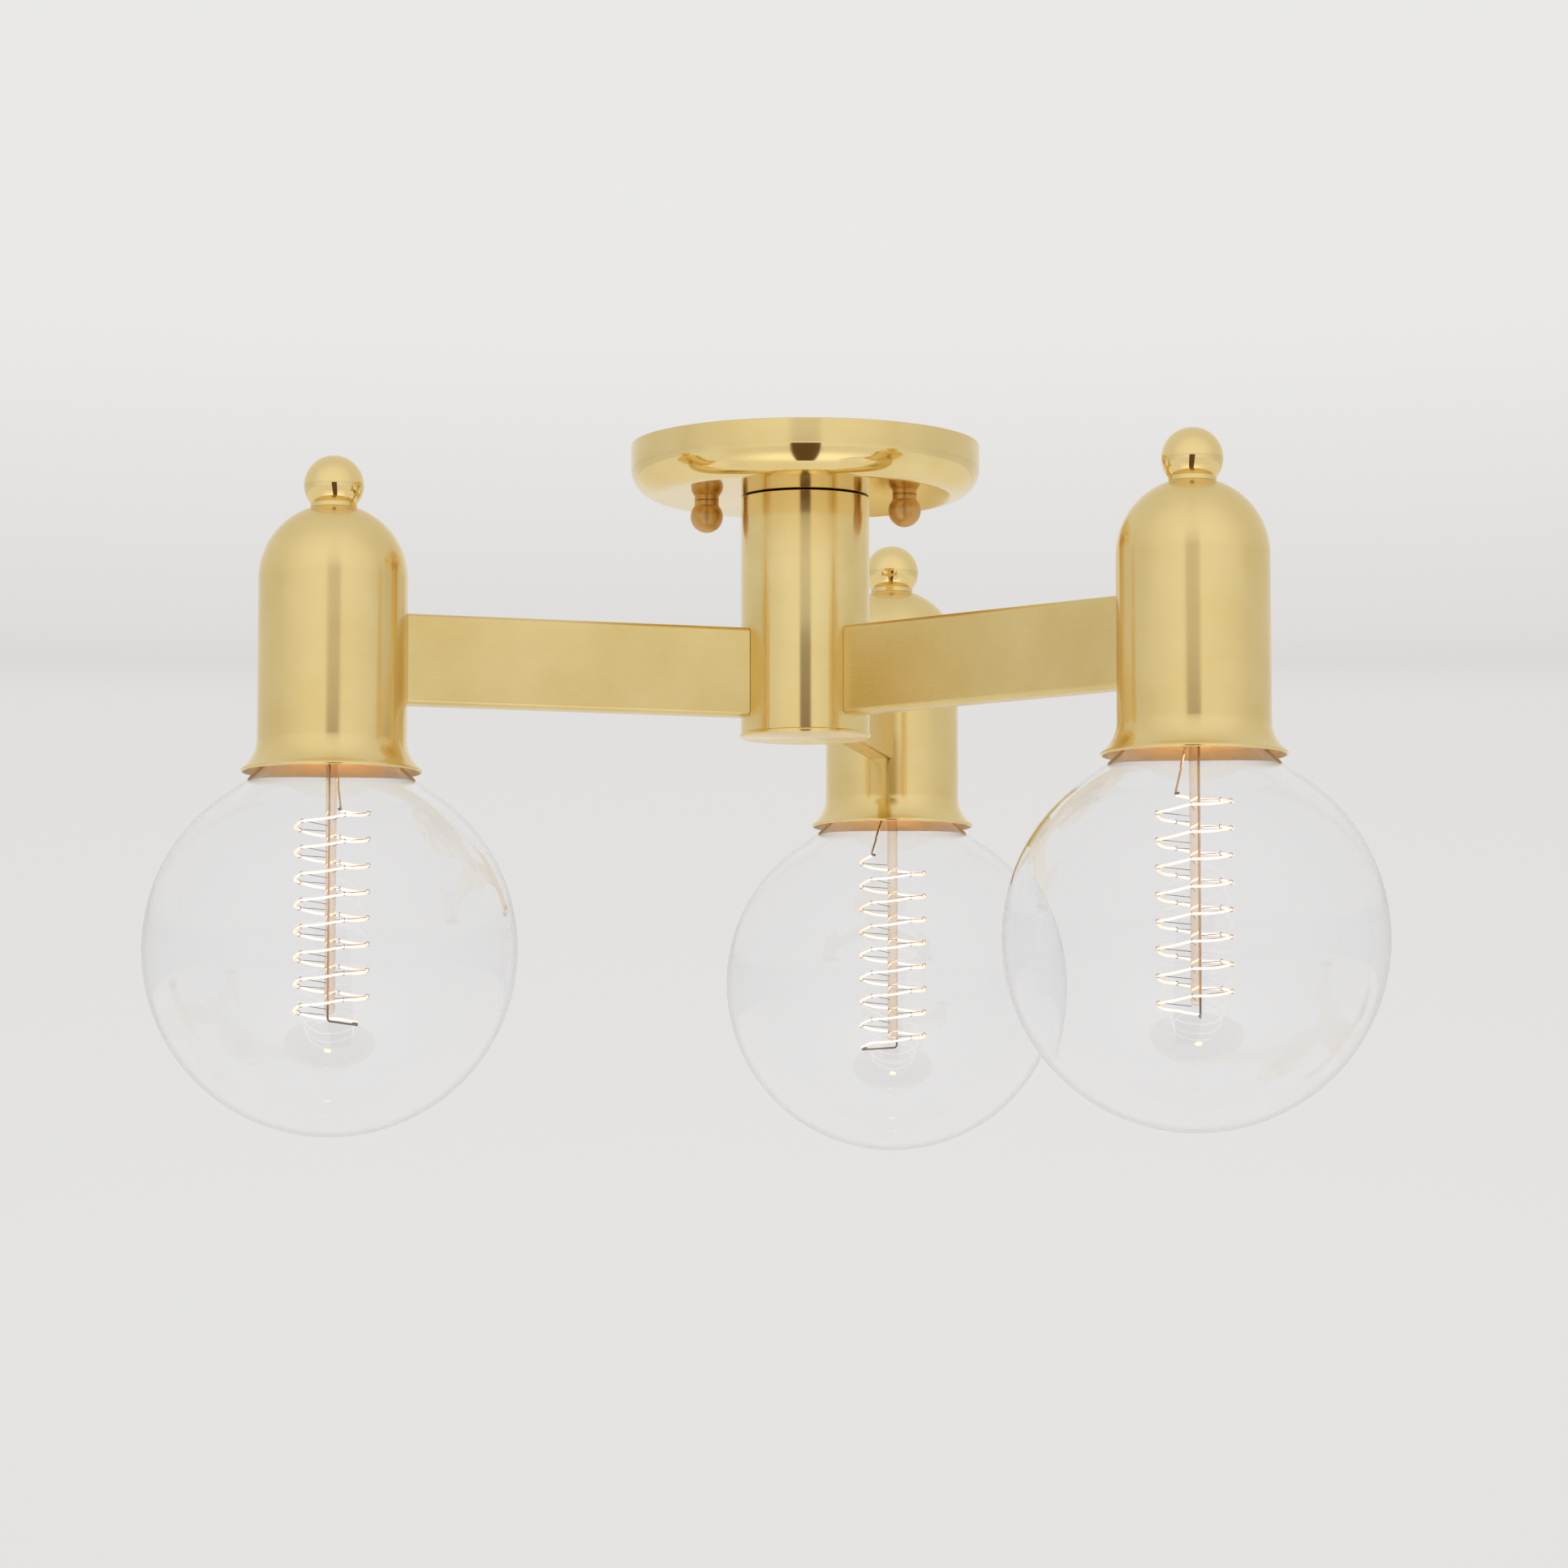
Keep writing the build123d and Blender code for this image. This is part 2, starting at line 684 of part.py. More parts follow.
def coil_point(turn):
    """A point on the coil, by the angle wound down from its upper end."""
    return Vector(
        filament_radius * cos(turn),
        -filament_radius * sin(turn),
        coil_top - filament_pitch * turn / (2 * pi),
    )


def coil_direction(turn):
    """The way that the wire runs there."""
    return Vector(
        -filament_radius * sin(turn), -filament_radius * cos(turn), -filament_pitch / (2 * pi)
    ).normalized()


def biarc_middle(start, end):
    """Where two arcs meet that leave and reach the coil along its own direction."""
    chord = coil_point(end) - coil_point(start)
    both = coil_direction(start) + coil_direction(end)
    square = 2 - 2 * coil_direction(start).dot(coil_direction(end))
    linear = 2 * chord.dot(both)
    reach = (-linear + sqrt(linear**2 + 4 * square * chord.dot(chord))) / (2 * square)
    outward = coil_point(start) + coil_direction(start) * reach
    inward = coil_point(end) - coil_direction(end) * reach
    return (outward + inward) * 0.5


coil_steps = ceil(filament_turns * biarcs_per_turn)
coil_step = 2 * pi * filament_turns / coil_steps

with BuildPart() as filament:
    with BuildLine() as coil_path:
        for i in range(coil_steps):
            middle = biarc_middle(i * coil_step, (i + 1) * coil_step)
            first_arc = TangentArc(
                coil_point(i * coil_step), middle, tangent=coil_direction(i * coil_step)
            )
            TangentArc(middle, coil_point((i + 1) * coil_step), tangent=first_arc % 1)
    with BuildSketch(Plane(coil_path.line @ 0, z_dir=coil_path.line % 0)):
        RegularPolygon(filament_wire_radius, filament_wire_sides)
    sweep()

coil_points = [coil_path.line @ (i / filament_gap_samples) for i in range(filament_gap_samples)]
points_per_turn = filament_gap_samples / filament_turns
least_gap = min(
    (a - b).length
    for i, a in enumerate(coil_points)
    for b in coil_points[i + int(points_per_turn / 2) :]
)
print(f"least gap of the filament to itself {least_gap - 2 * filament_wire_radius:.2f} mm")

upper_end = coil_point(0)
lower_end = coil_point(2 * pi * filament_turns)
weld_gap = filament_wire_radius + bulb_lead_radius + thread_clearance
cap_lead_level = cap_top - bulb_lead_below_cap_top
cap_lead_reach = screw_cap_radius - screw_cap_wall - thread_clearance
bend_level = rod_end - 2 * bulb_lead_bend

with BuildPart() as filament_leads:
    for route in (
        [
            (cap_lead_reach, 0, cap_lead_level),
            (bulb_lead_offset, 0, cap_lead_level),
            (bulb_lead_offset, 0, press_end - bulb_lead_bend),
            (upper_end.X, upper_end.Y, upper_end.Z + weld_gap),
        ],
        [
            (-bulb_lead_offset, 0, insulator_top - thread_clearance),
            (-bulb_lead_offset, 0, bend_level),
            (lower_end.X, lower_end.Y, lower_end.Z - weld_gap),
        ],
    ):
        with BuildLine() as route_line:
            FilletPolyline(*route, radius=bulb_lead_bend)
        with BuildSketch(Plane(route_line.line @ 0, z_dir=route_line.line % 0)):
            RegularPolygon(bulb_lead_radius, bulb_lead_sides)
        sweep()

for lamp, place in zip(lamp_angles, lamp_places):
    turned = Location((place.position.X, place.position.Y, 0), (0, 0, bulb_turn[lamp]))
    for name, piece in (
        ("glass_globe", globe),
        ("screw_cap", screw_cap),
        ("base_cement", base_cement),
        ("base_insulator", base_insulator),
        ("base_tip", base_tip),
        ("glass_stem", glass_stem),
        ("filament", filament),
        ("filament_leads", filament_leads),
    ):
        keep(f"{name}_{lamp}", at_one_lamp(piece, turned))

# ---- wiring: terminal block in the column, leads through the arms, supply wires ---------
block_half = terminal_block_width / 2
block_top = arm_level + terminal_block_height / 2
supply_places = [(supply_wire_half_pitch, 0), (-supply_wire_half_pitch, 0)]

with BuildPart() as terminal_block:
    with BuildSketch(Plane.XY.offset(arm_level - terminal_block_height / 2)):
        RegularPolygon(block_half, 6, major_radius=False)
    extrude(amount=terminal_block_height)
    chamfer(terminal_block.edges().group_by(Axis.Z)[-1], terminal_block_edge)
    with BuildSketch(Plane.XY.offset(block_top)):
        with Locations(*supply_places):
            Circle(wire_radius + thread_clearance)
    extrude(amount=-wire_grip, mode=Mode.SUBTRACT)
    for direction in arm_directions:
        across = Vector(cos(radians(direction)), sin(radians(direction)), 0)
        entry = across * block_half + Vector(0, 0, arm_level)
        with BuildSketch(Plane(origin=entry, x_dir=(0, 0, 1), z_dir=across)):
            with Locations((0, wire_half_pitch), (0, -wire_half_pitch)):
                Circle(wire_radius + thread_clearance)
        extrude(amount=-wire_grip, mode=Mode.SUBTRACT)
keep("terminal_block", terminal_block)

drop_x = arm_reach - socket_radius - lead_to_socket_gap - wire_radius
socket_lead_level = socket_top + lead_bend_above_socket
with BuildPart() as lamp_lead_pair:
    for side in (1, -1):
        with BuildLine() as lead_line:
            FilletPolyline(
                (block_half - wire_grip, side * wire_half_pitch, arm_level),
                (drop_x, side * wire_half_pitch, arm_level),
                (drop_x, side * wire_half_pitch, socket_lead_level),
                (arm_reach - terminal_offset, side * terminal_side, socket_lead_level),
                (arm_reach - terminal_offset, side * terminal_side, socket_top - terminal_depth),
                radius=lead_bend,
            )
        with BuildSketch(Plane(lead_line.line @ 0, z_dir=lead_line.line % 0)):
            RegularPolygon(wire_radius, wire_sides)
        sweep()
with BuildPart() as lamp_leads:
    with PolarLocations(0, arm_count, rear_arm_angle):
        add(lamp_lead_pair.part)
keep("lamp_leads", lamp_leads)

nut_x = wire_nut_spacing / 2
rib_angles = [2 * pi * i / wire_nut_ribs for i in range(wire_nut_ribs)]
with BuildPart() as supply_leads:
    for side in (1, -1):
        with BuildLine() as supply_line:
            FilletPolyline(
                (side * supply_wire_half_pitch, 0, block_top - wire_grip),
                (side * supply_wire_half_pitch, 0, supply_lead_level),
                (side * nut_x / 2, -wire_nut_distance / 3, supply_lead_level),
                (side * nut_x, -wire_nut_distance * 2 / 3, wire_nut_level),
                (side * nut_x, -wire_nut_distance - wire_nut_grip + wire_radius, wire_nut_level),
                radius=lead_bend,
            )
        with BuildSketch(Plane(supply_line.line @ 0, z_dir=supply_line.line % 0)):
            RegularPolygon(wire_radius, wire_sides)
        sweep()
keep("supply_leads", supply_leads)

with BuildPart() as supply_wire_nuts:
    for side in (1, -1):
        mouth = Plane(origin=(side * nut_x, -wire_nut_distance, wire_nut_level), z_dir=(0, -1, 0))
        ConvexPolyhedron(
            [
                mouth.from_local_coords((radius * cos(a), radius * sin(a), depth))
                for radius, depth in ((wire_nut_radius, 0), (wire_nut_tip_radius, wire_nut_length))
                for a in rib_angles
            ]
        )
        with BuildSketch(mouth):
            Circle(wire_radius + thread_clearance)
        extrude(amount=wire_nut_grip, mode=Mode.SUBTRACT)
keep("supply_wire_nuts", supply_wire_nuts)

for name, piece in pieces.items():
    export_step(piece.part, f"parts/{name}.step")
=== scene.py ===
"""Semi flush ceiling light with three arms: the looks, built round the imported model."""

import json
from math import acos, asin, atan2, ceil, cos, degrees, pi, radians, sin, sqrt, tan

import bmesh
import bpy
from mathutils import Euler, Matrix, Vector


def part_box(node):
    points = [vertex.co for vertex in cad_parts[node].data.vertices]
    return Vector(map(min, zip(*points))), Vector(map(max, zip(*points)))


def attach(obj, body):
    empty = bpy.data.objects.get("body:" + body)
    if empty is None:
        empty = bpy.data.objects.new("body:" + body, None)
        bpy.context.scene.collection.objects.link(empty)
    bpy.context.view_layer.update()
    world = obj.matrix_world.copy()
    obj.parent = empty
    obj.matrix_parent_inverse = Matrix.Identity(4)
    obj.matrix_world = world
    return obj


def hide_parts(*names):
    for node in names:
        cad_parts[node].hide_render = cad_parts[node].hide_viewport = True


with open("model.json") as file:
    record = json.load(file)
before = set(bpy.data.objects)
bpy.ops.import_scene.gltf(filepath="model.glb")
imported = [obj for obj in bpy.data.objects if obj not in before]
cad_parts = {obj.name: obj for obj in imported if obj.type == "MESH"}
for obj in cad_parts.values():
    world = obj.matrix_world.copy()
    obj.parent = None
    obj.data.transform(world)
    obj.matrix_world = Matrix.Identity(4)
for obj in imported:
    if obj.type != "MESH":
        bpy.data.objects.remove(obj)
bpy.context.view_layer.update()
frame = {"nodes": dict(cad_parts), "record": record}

MM = 0.001
lamps = ("rear", "left", "right")


# ---- where things are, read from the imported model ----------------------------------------
def span(node):
    """A CAD node's middle, size and lowest and highest level, in millimetres."""
    low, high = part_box(node)
    return (low + high) / 2 / MM, (high - low) / MM, low.z / MM, high.z / MM


canopy_size, canopy_underside, canopy_rim = span("canopy")[1:]
column_size, column_bottom, column_top = span("column")[1:]
nut_middle, nut_size, nut_bottom, nut_top = span("canopy_ball_nuts")
bell_bottom, bell_top = span("bells")[2:]
finial_bottom, finial_top = span("bell_finials")[2:]
cap_low, cap_high = span("screw_cap_rear")[2:]
globe_low, globe_high = span("glass_globe_rear")[2:]
coil_low, coil_high = span("filament_rear")[2:]
stem_low, stem_high = span("glass_stem_rear")[2:]
arm_low, arm_high = span("arm_rear")[2:]
arm_level = (arm_low + arm_high) / 2
lamp_axis = {lamp: span(f"screw_cap_{lamp}")[0].xy for lamp in lamps}
arm_reach = lamp_axis["rear"].length
arm_angle = {lamp: atan2(lamp_axis[lamp].y, lamp_axis[lamp].x) for lamp in lamps}

# ---- driving sizes of the looks, in millimetres and degrees ------------------------------
canopy_radius = canopy_size.x / 2
canopy_wall = 1.2
canopy_corner = 10.0
canopy_rim_round = 0.35
stud_radius = 2.13
pipe_hole = 4.81
nut_collar = 4.2
nut_collar_height = 1.0
nut_collar_edge = 0.25
nut_thread_depth = 6.5
column_radius = column_size.x / 2
column_wall = 1.5
column_edge = 0.25
cap_lip_round = 0.6
cap_edge = 0.3
register_gap = 0.05
register_wall = 1.5

bell_radius = 25.0
bell_wall = 1.2
bell_seat = 7.9
bell_tube = 54.3
flare_radius = 12.2
flare_angle = 55.0
lip_radius = 0.55
lip_ease = 2.0  # the last stretch of the flare, which the lip's roll takes up
finial_radius = 10.1
finial_disc = 1.6
finial_edge = 0.2
finial_thread_depth = 9.0

arm_width = 10.0
arm_edge = 1.8
hairline = 0.1

globe_radius = 62.4
glass_wall = 0.9
neck_start = 57.5  # how far above the globe's middle its neck begins
neck_radius = 11.4
neck_edge = 0.4
cap_radius = 13.1
cap_wall = 0.35
cap_thread_pitch = 3.63
cap_thread_depth = 0.55
cap_plain_band = 2.2
cap_thread_fade = 1.5

stem_skirt_share = 0.985  # of the neck's bore
stem_skirt_height = 9.0
stem_skirt_bend = 4.0
stem_tube = 4.4
stem_tube_length = 6.0
stem_tube_bend = 6.0
stem_wall = 1.0
pinch_height = 8.0
pinch_half_width = 5.0
pinch_half_thickness = 1.9
pinch_foot_half_width = 2.4
pinch_foot_half_thickness = 1.7
rod_radius = 1.8

coil_radius = 12.4
coil_turns = 8.1
coil_wire = 0.6
coil_sag = 0.5
glow_wire = 0.44
coil_turn = {"rear": 242.0, "left": 92.0, "right": 127.0}  # about each lamp's axis
hooks_per_turn = 5
hook_wire = 0.12
hook_rise = 0.9
hook_root = 0.3  # how deep it stands in the rod
hook_knee = 0.9  # the share of its length that is straight
hook_eye_slack = 0.08
lead_wire = 0.35
lead_offset = 2.5
lead_bend = 1.2
lead_below_cap_top = 4.0
lead_gap = 0.1
bare_end = 4.0
crimp_radius = 0.5
crimp_length = 1.8


# ---- materials ---------------------------------------------------------------------------
def linear(code):
    """An sRGB hex colour as linear red, green, blue and alpha."""
    shares = [int(code[i : i + 2], 16) / 255 for i in (1, 3, 5)]
    return [s / 12.92 if s <= 0.04045 else ((s + 0.055) / 1.055) ** 2.4 for s in shares] + [1.0]


def add(tree, kind, inputs=None, **settings):
    """One node with its settings and with its sockets' values or links."""
    made = tree.nodes.new(kind)
    for name, value in settings.items():
        setattr(made, name, value)
    for socket, value in (inputs or {}).items():
        if isinstance(value, bpy.types.NodeSocket):
            tree.links.new(value, made.inputs[socket])
        else:
            made.inputs[socket].default_value = value
    return made


def new_material(name):
    """An empty material and its output node."""
    material = bpy.data.materials.new(name)
    material.use_nodes = True
    material.node_tree.nodes.clear()
    return material, material.node_tree, add(material.node_tree, "ShaderNodeOutputMaterial")


def grain(tree, spacing, stretch=(1, 1, 1), detail=3.0):
    """Noise whose grains are that many millimetres apart, drawn out by the stretch."""
    place = add(tree, "ShaderNodeTexCoord")
    scale = [1 / (spacing * MM * s) for s in stretch]
    mapped = add(tree, "ShaderNodeMapping", {"Vector": place.outputs["Object"], "Scale": scale})
    return add(
        tree,
        "ShaderNodeTexNoise",
        {"Vector": mapped.outputs["Vector"], "Scale": 1.0, "Detail": detail, "Roughness": 0.55},
    )


def spread(tree, value, low, high):
    """A 0 to 1 value spread over a new range."""
    ranged = add(
        tree,
        "ShaderNodeMapRange",
        {"Value": value, "From Min": 0.3, "From Max": 0.7, "To Min": low, "To Max": high},
    )
    return ranged.outputs["Result"]


def two_tones(tree, value, dark, light):
    """A colour between two sRGB tones."""
    mix = add(tree, "ShaderNodeMix", data_type="RGBA")
    tree.links.new(value, mix.inputs[0])
    mix.inputs[6].default_value = linear(dark)
    mix.inputs[7].default_value = linear(light)
    return mix.outputs[2]


cloud_spacing = 28.0  # of the slow drift in a metal's tone, in millimetres


def metal(
    name, tones, gloss, marks, depth, stretch=(1, 1, 1), brushed=0.0, buffed=0.0, bare=1.0
):
    """Bare or lacquered metal: fine tool or brush marks that wander in tone, gloss and height.

    Tones are the darkest and the lightest colour, and gloss the lowest and the highest
    roughness. The marks' spacing and depth are in millimetres. Brushed marks run round the
    piece's upright axis and smear reflections up and down. Buffing wears that share of them
    smooth, and that share mirrors almost cleanly. What isn't bare is under a dull film.
    """
    material, tree, out = new_material(name)
    round_axis = add(tree, "ShaderNodeTangent", direction_type="RADIAL", axis="Z")
    lines = grain(tree, marks, stretch)
    cloud = grain(tree, cloud_spacing)
    tone = two_tones(tree, spread(tree, cloud.outputs[0], 0, 1), *tones)
    smooth, rough = gloss
    bump = add(
        tree,
        "ShaderNodeBump",
        {"Height": lines.outputs[0], "Strength": 0.5, "Distance": depth * MM},
    )
    skin = add(
        tree,
        "ShaderNodeBsdfPrincipled",
        {
            "Base Color": tone,
            "Metallic": bare,
            "Roughness": spread(tree, lines.outputs[0], smooth, rough),
            "Anisotropic": brushed,
            "Anisotropic Rotation": 0.25,
            "Tangent": round_axis.outputs["Tangent"],
            "Normal": bump.outputs["Normal"],
        },
    ).outputs[0]
    if buffed:
        worn = add(
            tree,
            "ShaderNodeBsdfPrincipled",
            {
                "Base Color": tone,
                "Metallic": 1.0,
                "Roughness": spread(tree, lines.outputs[0], 0.35 * smooth, 0.5 * rough),
            },
        )
        skin = add(
            tree, "ShaderNodeMixShader", {0: buffed, 1: skin, 2: worn.outputs[0]}
        ).outputs[0]
    tree.links.new(skin, out.inputs["Surface"])
    return material


# Spun, then brushed on the lathe. The rings are hair-thin, and are drawn four times as coarse
# so that they show. They draw the room's lights out into soft upright bands.
spun_brass = metal(
    "spun_satin_brass",
    ("#EDD391", "#F4DDA0"),
    gloss=(0.25, 0.265),
    marks=0.5,
    depth=0.00012,
    stretch=(40, 40, 1),
    brushed=1.0,
    buffed=0.35,
)
# The dish's wall is brushed like the bells, but its corner and underside are polished, so
# the nuts, the column and the dark card show in them with clean edges.
polished_dish = metal(
    "polished_spun_brass", ("#EDD391", "#F5DFA3"), gloss=(0.06, 0.1), marks=6.0, depth=0.0008
)
# The bells' insides stay as spun and dull, and their darker tone is painted shade of the hollow
# inside the bell.
raw_shaded_inside = metal(
    "raw_spun_brass_painted_shade",
    ("#A28A58", "#C2A873"),
    gloss=(0.36, 0.5),
    marks=5.0,
    depth=0.01,
    bare=0.6,
)
# The tube is buffed after brushing, so across the marks it mirrors what stands round it.
buffed_brass = metal(
    "buffed_brass_tube",
    ("#EDD391", "#F5DFA3"),
    gloss=(0.24, 0.25),
    marks=0.6,
    depth=0.0001,
    stretch=(30, 30, 1),
    brushed=1.0,
    buffed=0.25,
)
# Turned and polished balls are nearly mirrors, with the whole room small and sharp in them.
mirror_brass = metal(
    "mirror_polished_brass", ("#EFD594", "#F5DFA3"), gloss=(0.03, 0.06), marks=6.0, depth=0.001
)
# Linished along the arm: straight fine lines that dull what the bar reflects to one tone.
linished_brass = metal(
    "linished_brass_bar",
    ("#E1C887", "#EAD396"),
    gloss=(0.27, 0.29),
    marks=0.35,
    depth=0.0003,
    stretch=(90, 1, 1),
)
# Chemically aged and then rubbed back, so it is redder and duller.
aged_brass = metal(
    "aged_rubbed_brass", ("#C99A58", "#E2BA7A"), gloss=(0.36, 0.42), marks=2.0, depth=0.0004
)
# Thin sheet of the bulb's cap and the socket's shell: bright, with faint rings from the die.
sheet_brass = metal(
    "drawn_sheet_brass",
    ("#DCC183", "#EBD297"),
    gloss=(0.15, 0.25),
    marks=1.0,
    depth=0.006,
    stretch=(20, 20, 1),
)
# Bright zinc plate on pressed steel: cool grey with a fine crystal grain.
zinc_plate = metal(
    "zinc_plated_steel", ("#A9ABA8", "#C4C6C4"), gloss=(0.28, 0.42), marks=1.5, depth=0.01
)
# The ground screw is dipped in thin green lacquer, and the steel's gloss shows through it.
green_screw_paint = metal(
    "green_lacquered_steel", ("#1F6A38", "#2C8148"), gloss=(0.25, 0.4), marks=1.5, depth=0.01
)
# Solder sets with a frosted, dull grey skin.
tin_solder = metal("tin_solder", ("#9C9C9A", "#B9B9B6"), gloss=(0.3, 0.5), marks=1.0, depth=0.03)
# Nickel wire darkens near the heat, and its draw lines run along it: thin brownish strokes.
nickel_wire = metal(
    "drawn_nickel_wire",
    ("#6E645B", "#8D8277"),
    gloss=(0.25, 0.4),
    marks=0.6,
    depth=0.004,
    stretch=(1, 1, 12),
)
# The leads are coppered so that they seal in the glass, and look pink through it.
copper_wire = metal(
    "coppered_lead_wire",
    ("#C79C78", "#DAB18D"),
    gloss=(0.2, 0.35),
    marks=0.6,
    depth=0.002,
    stretch=(1, 1, 12),
)


def moulded(name, tones, gloss, grit):
    """Moulded plastic, cement or glass with the faint grain of its mould."""
    material, tree, out = new_material(name)
    noise = grain(tree, grit)
    bump = add(
        tree,
        "ShaderNodeBump",
        {"Height": noise.outputs[0], "Strength": 0.4, "Distance": 0.02 * MM},
    )
    shader = add(
        tree,
        "ShaderNodeBsdfPrincipled",
        {
            "Base Color": two_tones(tree, spread(tree, noise.outputs[0], 0, 1), *tones),
            "Roughness": spread(tree, noise.outputs[0], *gloss),
            "IOR": 1.5,
            "Normal": bump.outputs["Normal"],
        },
    )
    tree.links.new(shader.outputs[0], out.inputs["Surface"])
    return material


# Phenolic powder pressed in a hot steel mould: nearly black, with a soft gloss.
phenolic = moulded("moulded_phenolic", ("#141312", "#201E1C"), (0.3, 0.45), 0.8)
# Insulation drawn on warm through a die: dark and evenly dull.
wire_jacket = moulded("extruded_wire_jacket", ("#1B1B1C", "#262627"), (0.35, 0.5), 0.6)
# Wire nuts moulded in bright orange, with a low sheen from the textured mould.
splice_cap_plastic = moulded("moulded_splice_cap", ("#C9581A", "#DD6A24"), (0.35, 0.5), 0.8)
# Cement baked between glass and cap: chalky, pale and matte.
baked_cement = moulded("baked_base_cement", ("#BDB29C", "#D2C8B4"), (0.7, 0.9), 0.5)
# Black glass fired into the end of the cap: as glossy as a bead.
fired_glass = moulded("fired_black_glass", ("#0B0B0D", "#18181B"), (0.08, 0.16), 2.0)


def clear_glass(name, tint, gloss):
    """Clear fire-polished glass, with the faintest clouding of its gloss."""
    material, tree, out = new_material(name)
    waves = grain(tree, 35.0, detail=1.0)
    shader = add(
        tree,
        "ShaderNodeBsdfPrincipled",
        {
            "Base Color": linear(tint),
            "Roughness": spread(tree, waves.outputs[0], *gloss),
            "IOR": 1.44,
            "Transmission Weight": 1.0,
        },
    )
    tree.links.new(shader.outputs[0], out.inputs["Surface"])
    return material


# Thin soda-lime glass, blown in a mould: it shows only where its edge turns away.
globe_glass = clear_glass("clear_blown_glass", "#FEFEFF", (0.0, 0.01))
# Lead glass drawn to tube and rod: softer, with a warm tint that is painted glow of the hot coil
# beside it.
stem_glass = clear_glass("drawn_stem_glass", "#FCEBD7", (0.01, 0.03))


def glowing_wire(name, core, fringe, strength):
    """Hot tungsten: the middle of the wire burns white and its edges fall to orange."""
    material, tree, out = new_material(name)
    edge = add(tree, "ShaderNodeLayerWeight", {"Blend": 0.35})
    patchy = grain(tree, 6.0)
    tone = add(
        tree,
        "ShaderNodeMath",
        {0: edge.outputs["Facing"], 1: spread(tree, patchy.outputs[0], 0.75, 1.1)},
        operation="MULTIPLY",
    )
    shader = add(
        tree,
        "ShaderNodeBsdfPrincipled",
        {
            "Base Color": linear("#6B5A48"),
            "Metallic": 1.0,
            "Roughness": 0.4,
            "Emission Color": two_tones(tree, tone.outputs[0], core, fringe),
            "Emission Strength": strength,
        },
    )
    tree.links.new(shader.outputs[0], out.inputs["Surface"])
    return material


tungsten_glow = glowing_wire("glowing_tungsten", "#FFF4E8", "#F3A880", 1.35)


def painted_set(name, tone):
    """Flat emulsion paint of the set round the light."""
    material, tree, out = new_material(name)
    roller = grain(tree, 12.0)
    bump = add(
        tree,
        "ShaderNodeBump",
        {"Height": roller.outputs[0], "Strength": 0.1, "Distance": 0.1 * MM},
    )
    shader = add(
        tree,
        "ShaderNodeBsdfPrincipled",
        {"Base Color": linear(tone), "Roughness": 0.9, "Normal": bump.outputs["Normal"]},
    )
    tree.links.new(shader.outputs[0], out.inputs["Surface"])
    return material


# ---- profiles and meshes -----------------------------------------------------------------
def arc(centre, radius, start, end, count=16):
    """Points on an arc in (distance from the axis, height), angles in degrees."""
    angles = [radians(start + (end - start) * i / count) for i in range(count + 1)]
    return [(centre[0] + radius * cos(a), centre[1] + radius * sin(a)) for a in angles]


def bend(before, here, after, radius):
    """A rounded corner: its centre, and from there where it starts and where it ends."""
    back, onward = (before - here).normalized(), (after - here).normalized()
    half = back.angle(onward) / 2
    centre = here + (back + onward).normalized() * radius / sin(half)
    first = here + back * radius / tan(half) - centre
    last = here + onward * radius / tan(half) - centre
    return centre, first, last


def eased(corners, steps=5, closed=True):
    """An outline with its corners rounded: each corner is (distance, height, radius)."""
    outline = []
    for i, corner in enumerate(corners):
        radius = corner[2] if len(corner) > 2 else 0
        ends = not closed and i in (0, len(corners) - 1)
        if not radius or ends:
            outline.append(tuple(corner[:2]))
            continue
        before, after = corners[i - 1], corners[(i + 1) % len(corners)]
        centre, first, last = bend(*(Vector(c[:2]) for c in (before, corner, after)), radius)
        for step in range(steps + 1):
            point = centre + first.lerp(last, step / steps).normalized() * radius
            outline.append((point.x, point.y))
    return outline


def linked(name, data):
    """A new object in the scene."""
    made = bpy.data.objects.new(name, data)
    bpy.context.scene.collection.objects.link(made)
    return made


def dress(name, bm, material, place=None, body="fixture", replaces=(), crease=32):
    """Turns a mesh in millimetres into a piece on its body, smooth but for its sharp edges."""
    bmesh.ops.remove_doubles(bm, verts=bm.verts, dist=1e-4)
    bmesh.ops.recalc_face_normals(bm, faces=bm.faces)
    for face in bm.faces:
        face.smooth = True
    for edge in bm.edges:
        if len(edge.link_faces) == 2 and edge.calc_face_angle(0) > radians(crease):
            edge.smooth = False
    mesh = bpy.data.meshes.new(name)
    bm.to_mesh(mesh)
    bm.free()
    mesh.transform(Matrix.Scale(MM, 4))
    for each in material if isinstance(material, (list, tuple)) else [material]:
        mesh.materials.append(each)
    piece = linked(name, mesh)
    if place is not None:
        piece.matrix_world = place
    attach(piece, body)
    if replaces:
        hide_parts(*replaces)
    return piece


def round_steps(count):
    """Angles all the way round, in radians."""
    return [2 * pi * i / count for i in range(count)]


def turned(outline, closed=True, segments=128, second=()):
    """A mesh turned on the lathe from an outline of (distance from the axis, height).

    The bands whose numbers are in second take the piece's second material.
    """
    bm = bmesh.new()
    rings = []
    for distance, height in outline:
        if distance < 1e-6:
            rings.append([bm.verts.new((0, 0, height))] * segments)
        else:
            ring = [(distance * cos(a), distance * sin(a), height) for a in round_steps(segments)]
            rings.append([bm.verts.new(point) for point in ring])
    pairs = list(zip(rings, rings[1:])) + ([(rings[-1], rings[0])] if closed else [])
    for band, (lower, upper) in enumerate(pairs):
        for i in range(segments):
            j = (i + 1) % segments
            corners = list(dict.fromkeys((lower[i], lower[j], upper[j], upper[i])))
            if len(corners) > 2:
                bm.faces.new(corners).material_index = int(band in second)
    return bm


